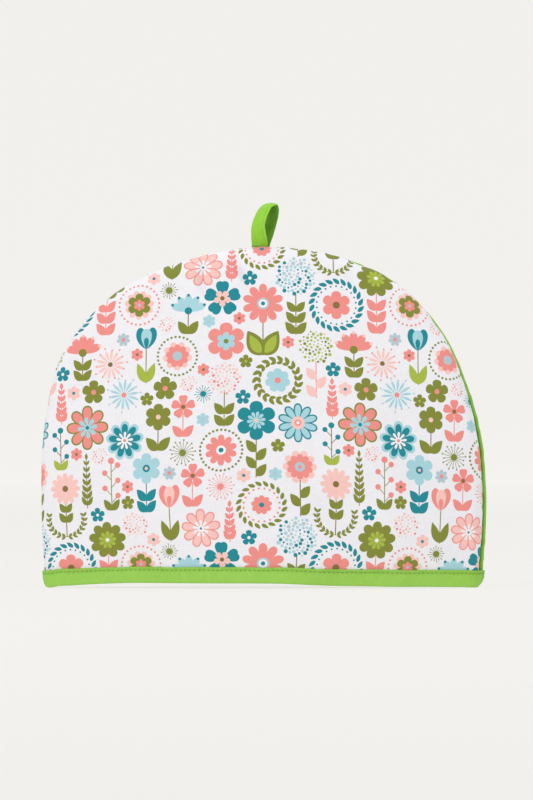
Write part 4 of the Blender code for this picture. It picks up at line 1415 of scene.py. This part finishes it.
def make_binding():
    rows = bind_rows()
    count = 1120
    rings, heights = [], []
    for kind, outside, away, z, w in rows:
        if kind in ("under", "above"):
            rings.append(None)
            heights.append(z)
        else:
            rings.append(bind_line(max(z - HEM_CLEAR, 0.0), outside, away, count))
            heights.append(z)
    for k, (kind, _, _, _, w) in enumerate(rows):
        if rings[k] is None:
            a = max(i for i in range(k) if rings[i] is not None)
            b = min(i for i in range(k + 1, len(rows)) if rings[i] is not None)
            rings[k] = rings[a] * (1 - w) + rings[b] * w
    rings = np.stack(rings)  # rows, stations, 2
    heights = np.array(heights)[:, None] * np.ones((1, count))
    outer_face = bind_line(6.0, True, BIND_GAP + BIND_THICK, count)
    run = np.concatenate([[0], np.cumsum(np.linalg.norm(np.diff(outer_face, axis=0), axis=1))])
    length = run[-1] + np.linalg.norm(outer_face[0] - outer_face[-1])
    stitches = int(length / STITCH)
    phase = (run / length * stitches) % 1.0  # 0 where the needle goes in
    hole = np.minimum(phase, 1 - phase) * STITCH
    between = np.clip(np.abs(phase - 0.5) * 2, 0, 1)
    d = np.stack([np.roll(r, -1, 0) - np.roll(r, 1, 0) for r in rings])
    d = unit(d)
    normal = np.stack([d[..., 1], -d[..., 0]], -1)
    # out of the ring for outer rows; the ring runs left, front, right, back, so this points outward
    uneven = wander(run, 5, ((37.0, 0.10), (61.0, 0.14), (19.0, 0.06), (length / 2, 0.05)))
    for k, (kind, outside, away, z, w) in enumerate(rows):
        if kind != "far" or outside is None:
            continue
        top = BIND_HEIGHT if outside else BIND_HEIGHT - BIND_INNER_SHORT
        down = top - z
        # the strip puffs between the fold and the stitches, and below them; the stitches sink in
        row_dip = -0.15 * math.exp(-(((down - STITCH_DROP) / 0.62) ** 2))
        needle = -0.26 * np.exp(-((hole / 0.55) ** 2)) * math.exp(-(((down - STITCH_DROP) / 0.55) ** 2))
        puff = 0.08 * math.exp(-(((down - 0.95) / 0.8) ** 2)) + 0.42 * math.exp(-(((down - 7.4) / 3.6) ** 2))
        drag = 0.14 * wander(run + down * 1.1, 8, ((9.7, 0.6), (6.1, 0.45), (15.3, 0.6), (4.3, 0.3))) * math.exp(-(((down - 4.2) / 3.4) ** 2)) * float(smooth((down - 0.3) / 1.5))
        low = 0.16 * wander(run, 9, ((23.0, 0.7), (41.0, 0.8), (13.0, 0.4))) * math.exp(-(((down - 9.5) / 4.0) ** 2))
        amount = (row_dip + puff + needle + drag + low) * (1.0 if outside else 0.6)
        sign = 1.0 if outside else -1.0
        rings[k] = rings[k] + normal[k] * (sign * amount)[:, None]
    for k, (kind, outside, away, z, w) in enumerate(rows):
        if outside is None:
            continue
        top = BIND_HEIGHT if outside else BIND_HEIGHT - BIND_INNER_SHORT
        share = float(smooth((z - 3.0) / (top - 3.0)))
        heights[k] = heights[k] + uneven * share
    x, y = rings[..., 0], rings[..., 1]
    side = np.where(np.arange(count) < count // 2, -1, 1)
    z = np.where(side < 0, rise(x, heights, -1), rise(x, heights, 1))
    blend = smooth(0.5 + y / 8.0)
    z = rise(x, heights, -1) * (1 - blend) + rise(x, heights, 1) * blend
    verts = np.stack([x, y, z], -1)
    r, c = verts.shape[:2]
    index = np.arange(r * c).reshape(r, c)
    i0, i1 = index, np.roll(index, -1, 0)
    quads = np.stack([i0, i1, np.roll(i1, -1, 1), np.roll(i0, -1, 1)], -1).reshape(-1, 4)
    # UV: along and around
    around = np.concatenate([[0], np.cumsum(np.linalg.norm(np.diff(verts[:, 10], axis=0), axis=1))])
    around_total = around[-1] + np.linalg.norm(verts[0, 10] - verts[-1, 10])
    u0 = np.broadcast_to(run[None], (r, c))
    u1 = np.broadcast_to(np.concatenate([run[1:], [length]])[None], (r, c))
    v0 = np.broadcast_to(around[:, None], (r, c))
    v1 = np.broadcast_to(np.concatenate([around[1:], [around_total]])[:, None], (r, c))
    cloth = np.stack([np.stack([u0, v0], -1), np.stack([u0, v1], -1), np.stack([u1, v1], -1), np.stack([u1, v0], -1)], 2).reshape(-1, 2)
    # the strip is cut on the bias: its threads run at 45 degrees
    turned = np.stack([(cloth[:, 0] + cloth[:, 1]) / math.sqrt(2), (cloth[:, 1] - cloth[:, 0]) / math.sqrt(2)], 1)
    # baking sheet: the strip's length in eight lanes
    lanes = 8
    per = c // lanes
    lane_u0 = (np.arange(c) % per) / per
    lane_u1 = lane_u0 + 1.0 / per
    lane = np.arange(c) // per
    w0, w1 = around / around_total, np.concatenate([around[1:], [around_total]]) / around_total
    bake = np.zeros((r, c, 4, 2))
    for k, (uu, ww) in enumerate(((lane_u0, w0), (lane_u0, w1), (lane_u1, w1), (lane_u1, w0))):
        bake[..., k, 0] = 0.01 + 0.98 * uu[None]
        bake[..., k, 1] = 0.01 + (lane[None] + 0.03 + 0.94 * ww[:, None]) * 0.98 / lanes
    # painted shade: darker over the top band and the stitches, paler towards the lower fold
    drop = (BIND_HEIGHT - heights).reshape(-1)
    tone = 0.90 + 0.10 * smooth((drop - 2.2) / 3.2) + 0.035 * smooth((drop - 7.0) / 5.0)
    tone = tone * (1 - 0.19 * np.exp(-(((174.0 - x.reshape(-1)) / 8.5) ** 2)))  # and painted shade deeper at the right end, where it turns away from the light
    dye_with_painted_shade = np.array(LIME_TAPE)[None] * tone[quads.reshape(-1)][:, None] ** np.array([1.2, 1.0, 2.0])[None]
    obj = write_mesh("hem_tape", verts.reshape(-1, 3), quads, colours=dye_with_painted_shade, uvs={"OFBake": bake.reshape(-1, 2), "cloth": turned * MM}, material=tape)
    print("hem_tape", len(verts.reshape(-1, 3)), "points", len(quads) * 2, "triangles, length", round(length, 1))
    return obj, length, stitches, run, rows, verts, normal


def stitch_mesh(name, places, material):
    """Stitches as small threads: places are rows of start, end, outward, rise, thickness in mm."""
    verts, faces, uvs = [], [], []
    around, along = 6, (0.0, 0.12, 0.35, 0.65, 0.88, 1.0)
    for start, end, out, hump, thick in places:
        axis = unit(end - start)
        across = unit(np.cross(axis, out))
        base = len(verts)
        for t in along:
            bow = hump * (4 * t * (1 - t)) ** 0.6
            sink = thick * (0.55 + 0.45 * min(1.0, 4 * t * (1 - t) * 1.6))
            centre = start + (end - start) * t + out * (bow - hump * 0.35)
            for k in range(around):
                w = TAU * k / around
                verts.append(centre + (across * math.cos(w) + out * math.sin(w)) * sink / 2)
        last = len(verts)
        verts.append(start - axis * thick * 0.12 - out * hump * 0.35)
        verts.append(end + axis * thick * 0.12 - out * hump * 0.35)
        size = float(np.linalg.norm(end - start)) * MM
        for j in range(len(along) - 1):
            for k in range(around):
                a, b = base + j * around + k, base + j * around + (k + 1) % around
                c, d = a + around, b + around
                u0, u1, v0, v1 = along[j] * size, along[j + 1] * size, k / around, (k + 1) / around
                faces += [(a, b, d), (a, d, c)]
                uvs += [(u0, v0), (u0, v1), (u1, v1), (u0, v0), (u1, v1), (u1, v0)]
        for k in range(around):
            a, b = base + k, base + (k + 1) % around
            faces.append((last, b, a))
            uvs += [(0, 0.5), (0, (k + 1) / around), (0, k / around)]
            c, d = base + (len(along) - 1) * around + k, base + (len(along) - 1) * around + (k + 1) % around
            faces.append((last + 1, c, d))
            uvs += [(size, 0.5), (size, k / around), (size, (k + 1) / around)]
    return write_mesh(name, np.array(verts), np.array(faces), uvs={"cloth": np.array(uvs)}, material=material)


binding, bind_length, stitch_count, bind_run, section, bind_verts, bind_normal = make_binding()
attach(binding, "root")
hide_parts("hem_binding")


def hem_stitching():
    places = []
    for outside in (True, False):
        top = BIND_HEIGHT if outside else BIND_HEIGHT - BIND_INNER_SHORT
        k = min((i for i, row in enumerate(section) if row[0] == "far" and row[1] == outside), key=lambda i: abs(section[i][3] - (top - STITCH_DROP)))
        line, normals = bind_verts[k], bind_normal[k] * (1 if outside else -1)
        closed = np.concatenate([line, line[:1]])
        run = np.concatenate([[0], np.cumsum(np.linalg.norm(np.diff(closed, axis=0), axis=1))])
        length = run[-1]
        closed_n = np.concatenate([normals, normals[:1]])
        rng = random.Random(41 + outside)

        def at(s):
            s = s % length
            return np.array([np.interp(s, run, closed[:, i]) for i in range(3)])

        def out(s):
            s = s % length
            v = np.array([np.interp(s, run, closed_n[:, i]) for i in range(2)] + [0.0])
            return v / np.linalg.norm(v)

        for i in range(stitch_count):
            s0 = (i + 0.25 + rng.uniform(-0.05, 0.05)) / stitch_count * length
            s1 = (i + 0.75 + rng.uniform(-0.05, 0.05)) / stitch_count * length
            lean = rng.uniform(-0.14, 0.14)
            o = out((s0 + s1) / 2)
            a, b = at(s0) + (0, 0, lean), at(s1) + (0, 0, -lean)
            places.append((a + o * 0.06, b + o * 0.06, o, 0.22, 0.52))
    return places


sewing = stitch_mesh("hem_stitches", hem_stitching(), thread)
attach(sewing, "root")


# ---- The hanging loop -------------------------------------------------------
def make_loop():
    """A folded strip: its section, with a soft fold and a stitched edge, carried along the twisted path."""
    at = np.linspace(0, len(LOOP) - 1, 231)
    keys = [curve_at([(k, row[i]) for k, row in enumerate(LOOP)], at) for i in range(4)]
    off, up, lean, twist = keys
    turn = np.radians(twist)
    run = np.concatenate([[0], np.cumsum(np.hypot(np.diff(off), np.diff(up)))])
    middle = np.stack([LOOP_X + lean + off * np.sin(turn), off * np.cos(turn), LOOP_Z + up], 1)
    across = np.stack([np.cos(turn), -np.sin(turn), np.zeros_like(turn)], 1)
    along = unit(np.gradient(middle, axis=0))
    out = unit(np.cross(across, along))  # which way is outward is settled below
    centre = np.array([LOOP_X + 3, 0.0, LOOP_Z + 15])
    if np.sum(out * (middle - centre)) < 0:
        out = -out
    half_w, half_t = LOOP_WIDTH / 2, LOOP_THICK / 2
    # section: places across and out of the strip's middle
    ring = []
    r = half_t * 0.92
    for t in np.linspace(-90, 90, 9):
        ring.append((half_w - r + r * math.cos(math.radians(t)), r * math.sin(math.radians(t)), 1))
    for p in np.linspace(half_w - r, -(half_w - r), 27)[1:-1]:
        ring.append((p, half_t * 0.92, 1))
    for t in np.linspace(90, 270, 9):
        ring.append((-(half_w - r) + r * math.cos(math.radians(t)), r * math.sin(math.radians(t)), 1))
    for p in np.linspace(-(half_w - r), half_w - r, 27)[1:-1]:
        ring.append((p, -half_t * 0.92, -1))
    ring = np.array(ring)
    n_s, n_r = len(at), len(ring)
    p = ring[:, 0][None] * np.ones((n_s, 1))
    q = ring[:, 1][None] * np.ones((n_s, 1))
    s = run[:, None] * np.ones((1, n_r))
    q = q * (0.42 + 0.58 * smooth((half_w - np.abs(p)) / 2.6))  # pressed thin at its edges
    face = np.sign(q) * smooth((half_w - 0.4 - np.abs(p)) / 1.0)
    # sewn close to its open edge, so that side is flatter and the folded side rounder
    row = half_w - 2.0
    phase = (s / 2.6) % 1.0
    hole = np.minimum(phase, 1 - phase) * 2.6
    q = q + face * (
        -0.08 * np.exp(-(((p - row) / 0.5) ** 2)) * (0.75 + 0.5 * np.exp(-((hole / 0.5) ** 2)))
        + 0.10 * np.exp(-(((p - half_w + 0.9) / 0.5) ** 2))
        + 0.22 * np.exp(-(((p + 1.0) / 3.6) ** 2))
        - 0.55 * np.exp(-(((p + 1.9 + 0.5 * np.sin(s / 9.0)) / 0.7) ** 2)) * np.exp(-(((s - 9.0) / 9.0) ** 2))
        + 0.07 * np.sin(s / 3.1 + p * 0.7) * np.sin(p * 0.9 + 1.0)
    )
    # the strip narrows a little where it is bent sharply, and its edge wavers
    bend = np.abs(np.gradient(np.unwrap(np.arctan2(np.gradient(up), np.gradient(off))))) / np.gradient(run)
    p = p * (1 - 0.05 * smooth(bend / 0.2))[:, None] + 0.10 * wander(s, 3, ((17.0, 0.7), (7.3, 0.5))) * np.sign(p)
    # it cups: the edges curl in towards the loop's inside at the top
    cup = 0.55 * np.exp(-(((run - run[-1] / 2) / 16.0) ** 2))
    q = q - cup[:, None] * (p / half_w) ** 2
    verts = middle[:, None] + across[:, None] * p[..., None] + out[:, None] * q[..., None]
    index = np.arange(n_s * n_r).reshape(n_s, n_r)
    i0, i1 = index[:-1], index[1:]
    quads = np.stack([i0, np.roll(i0, -1, 1), np.roll(i1, -1, 1), i1], -1).reshape(-1, 4)
    around = np.concatenate([[0], np.cumsum(np.linalg.norm(np.diff(ring[:, :2], axis=0), axis=1))])
    total = around[-1] + np.linalg.norm(ring[0, :2] - ring[-1, :2])
    w0, w1 = around, np.concatenate([around[1:], [total]])
    v = np.zeros((n_s - 1, n_r, 4, 2))
    for k, (ss, ww) in enumerate(((run[:-1], w0), (run[:-1], w1), (run[1:], w1), (run[1:], w0))):
        v[..., k, 0] = ss[:, None]
        v[..., k, 1] = ww[None]
    bake = v.copy()
    bake[..., 0] = 0.02 + 0.96 * v[..., 0] / run[-1]
    bake[..., 1] = 0.02 + 0.80 * v[..., 1] / total
    bake = bake.reshape(-1, 2)
    # end caps, as fans
    tris = []
    tri_uv, tri_bake = [], []
    flat_verts = verts.reshape(-1, 3)
    ends = []
    for which, k in (("start", 0), ("end", n_s - 1)):
        ends.append(len(flat_verts) + len(ends))
    caps = np.stack([verts[0].mean(0), verts[-1].mean(0)])
    flat_verts = np.concatenate([flat_verts, caps])
    quad_tris = np.concatenate([quads[:, [0, 1, 2]], quads[:, [0, 2, 3]]])
    quad_uv = np.concatenate([v.reshape(-1, 4, 2)[:, [0, 1, 2]], v.reshape(-1, 4, 2)[:, [0, 2, 3]]])
    quad_bake = np.concatenate([bake.reshape(-1, 4, 2)[:, [0, 1, 2]], bake.reshape(-1, 4, 2)[:, [0, 2, 3]]])
    for k in range(n_r):
        n = (k + 1) % n_r
        tris.append((index[0, n], index[0, k], ends[0]))
        tris.append((index[-1, k], index[-1, n], ends[1]))
        for cx in (0.2, 0.6):
            a0, a1 = TAU * k / n_r, TAU * (k + 1) / n_r
            c = (cx, 0.92)
            pts = [(c[0] + 0.06 * math.cos(a1), c[1] + 0.06 * math.sin(a1)), (c[0] + 0.06 * math.cos(a0), c[1] + 0.06 * math.sin(a0)), c]
            if cx > 0.5:
                pts = [pts[1], pts[0], pts[2]]
            tri_bake.append(pts)
            tri_uv.append([(px * 10, py * 10) for px, py in pts])
    faces = np.concatenate([quad_tris, np.array(tris)])
    uv = np.concatenate([quad_uv, np.array(tri_uv)]).reshape(-1, 2)
    bk = np.concatenate([quad_bake, np.array(tri_bake)]).reshape(-1, 2)
    # turn all faces outward
    a, b, c = (flat_verts[faces[:, k]] for k in range(3))
    if np.sum(a * np.cross(b, c)) < 0:
        faces = faces[:, ::-1]
        uv = uv.reshape(-1, 3, 2)[:, ::-1].reshape(-1, 2)
        bk = bk.reshape(-1, 3, 2)[:, ::-1].reshape(-1, 2)
    # painted shade: the inner side and the part in the seam are darker, where shade falls
    inner = smooth(0.5 - ring[:, 1] / (half_t * 0.8))[None] * smooth((run[:, None] - 3.0) / 4.0) * smooth((run[-1] - run[:, None] - 3.0) / 4.0)
    tone = (1 - 0.46 * inner) * (0.50 + 0.50 * smooth((middle[:, 2:] - 264.3) / 2.0))
    tone = np.concatenate([tone.reshape(-1), [0.5, 0.5]])
    tone[: n_s * n_r] *= (1 - 0.13 * smooth((-1.6 - p) / 1.2) * np.exp(-(((s - 5.0) / 8.0) ** 2))).reshape(-1)
    dye_with_painted_shade = np.array(LIME_LOOP)[None] * tone[faces.reshape(-1)][:, None] ** np.array([1.25, 1.0, 1.35])[None]
    obj = write_mesh("loop_tape", flat_verts, faces, colours=dye_with_painted_shade, uvs={"OFBake": bk, "cloth": uv * MM}, material=strip)
    print("loop_tape", len(faces), "triangles, length", round(float(run[-1]), 1))
    # its own row of stitches, on both faces
    places = []
    for sign in (1, -1):
        for k in range(1, int(run[-1] / 2.6) - 1):
            ends_at = []
            for t in (k + 0.14, k + 0.86):
                s1 = t * 2.6
                m = np.array([np.interp(s1, run, middle[:, i]) for i in range(3)])
                ac = unit(np.array([np.interp(s1, run, across[:, i]) for i in range(3)]))
                o = unit(np.array([np.interp(s1, run, out[:, i]) for i in range(3)]))
                cp = 0.55 * math.exp(-(((s1 - run[-1] / 2) / 16.0) ** 2)) * (row / half_w) ** 2
                ends_at.append(m + ac * row + o * (sign * (half_t * 0.92 * (0.42 + 0.58 * float(smooth(2.0 / 2.6))) - 0.02) - cp))
            places.append((ends_at[0], ends_at[1], o * sign, 0.16, 0.36))
    return obj, float(run[-1]), places


loop, loop_length, loop_places = make_loop()
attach(loop, "root")
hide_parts("hanging_loop")
loop_sewing = stitch_mesh("loop_stitches", loop_places, spun("loop thread", srgb(136, 196, 60)))
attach(loop_sewing, "root")


# ---- Stage, light and camera ------------------------------------------------
def make_stage():
    """A round pale floor that curves up into a wall all round, so that every side has the same backdrop."""
    rim, bend, high = 12.6, 2.4, 5.5
    profile = [(0.0, 0.0), (0.35, 0.0), (0.8, 0.0), (1.6, 0.0), (2.8, 0.0), (4.6, 0.0), (7.5, 0.0), (rim - bend, 0.0)]
    for k in range(1, 17):
        t = math.pi / 2 * k / 16
        profile.append((rim - bend + bend * math.sin(t), bend - bend * math.cos(t)))
    profile.append((rim, high))
    around = 128
    verts, faces = [(0.0, 0.0, 0.0)], []
    for r, z in profile[1:]:
        verts += [(r * math.cos(TAU * k / around), r * math.sin(TAU * k / around), z) for k in range(around)]
    faces += [(0, 1 + k, 1 + (k + 1) % around) for k in range(around)]
    for j in range(len(profile) - 2):
        for k in range(around):
            a, b = 1 + j * around + k, 1 + j * around + (k + 1) % around
            faces += [(a, a + around, b + around, b)]
    mesh = bpy.data.meshes.new("backdrop")
    mesh.from_pydata(verts, [], faces)
    mesh.polygons.foreach_set("use_smooth", np.ones(len(faces), bool))
    material = bpy.data.materials.new("paper backdrop")
    n = Nodes(material)
    where = n.tree.nodes.new("ShaderNodeTexCoord").outputs["Object"]
    # lit from within like a light tent, evenly, and a little less where the cosy's soft shadow falls
    split = n.tree.nodes.new("ShaderNodeSeparateXYZ")
    n.put(split.inputs[0], where)
    out = n.math("SQRT", n.math("ADD", n.math("MULTIPLY", split.outputs[0], split.outputs[0]), n.math("MULTIPLY", split.outputs[1], split.outputs[1])))
    glow = n.math("ADD", n.ramp(out, 0.3, 2.4, GLOW_NEAR, GLOW_FAR), n.ramp(out, 5.0, 10.0, 0.0, GLOW_WALL))
    n.put(n.shader.inputs["Base Color"], n.mix(1.0, (*BACKDROP, 1.0), n.grey(n.math("MAXIMUM", n.math("SUBTRACT", 0.96, glow), 0.0)), "MULTIPLY"))
    n.put(n.shader.inputs["Emission Color"], (*BACKDROP, 1.0))
    n.put(n.shader.inputs["Emission Strength"], glow)
    n.shader.inputs["Roughness"].default_value = 0.95
    n.shader.inputs["Specular IOR Level"].default_value = 0.1
    mesh.materials.append(material)
    obj = bpy.data.objects.new("backdrop", mesh)
    bpy.context.scene.collection.objects.link(obj)


def make_light(name, where, aim, size, watts, colour=(1, 1, 1)):
    data = bpy.data.lights.new(name, "AREA")
    data.shape = "DISK"
    data.size = size
    data.energy = watts
    data.color = colour
    obj = bpy.data.objects.new(name, data)
    obj.location = where
    obj.rotation_euler = (Vector(aim) - Vector(where)).to_track_quat("-Z", "Y").to_euler()
    bpy.context.scene.collection.objects.link(obj)


BACKDROP = srgb(244, 242, 238)
GLOW_NEAR, GLOW_FAR, GLOW_WALL = 0.82, 0.89, 0.09
make_stage()
make_light("key", (-2.3, -2.4, 1.5), (0, 0, 0.12), 1.5, KEY_WATTS, (1.0, 0.985, 0.96))
make_light("fill", (2.6, -2.6, 1.9), (0, 0, 0.12), 2.4, FILL_WATTS, (0.97, 0.985, 1.0))
make_light("top", (0.2, 0.4, 3.0), (0, 0, 0.1), 2.6, TOP_WATTS)

world = bpy.data.worlds.new("studio")
world.use_nodes = True
world.node_tree.nodes["Background"].inputs[0].default_value = (0.955, 0.975, 1.0, 1.0)
world.node_tree.nodes["Background"].inputs[1].default_value = SKY
bpy.context.scene.world = world

camera = bpy.data.cameras.new("camera")
camera.sensor_fit = "VERTICAL"
camera.sensor_height = 36.0
camera.lens = 36.0 * CAMERA_AWAY / (800 * PIXEL)
camera.clip_end = 60.0
eye_at = bpy.data.objects.new("camera", camera)
eye_at.location = (AIM_X, -CAMERA_AWAY, AIM_Z + CAMERA_AWAY * math.tan(math.radians(CAMERA_UP)))
eye_at.rotation_euler = (math.radians(90 - CAMERA_UP), 0, 0)
bpy.context.scene.collection.objects.link(eye_at)
bpy.context.scene.camera = eye_at
bpy.context.scene.view_settings.view_transform = "Standard"
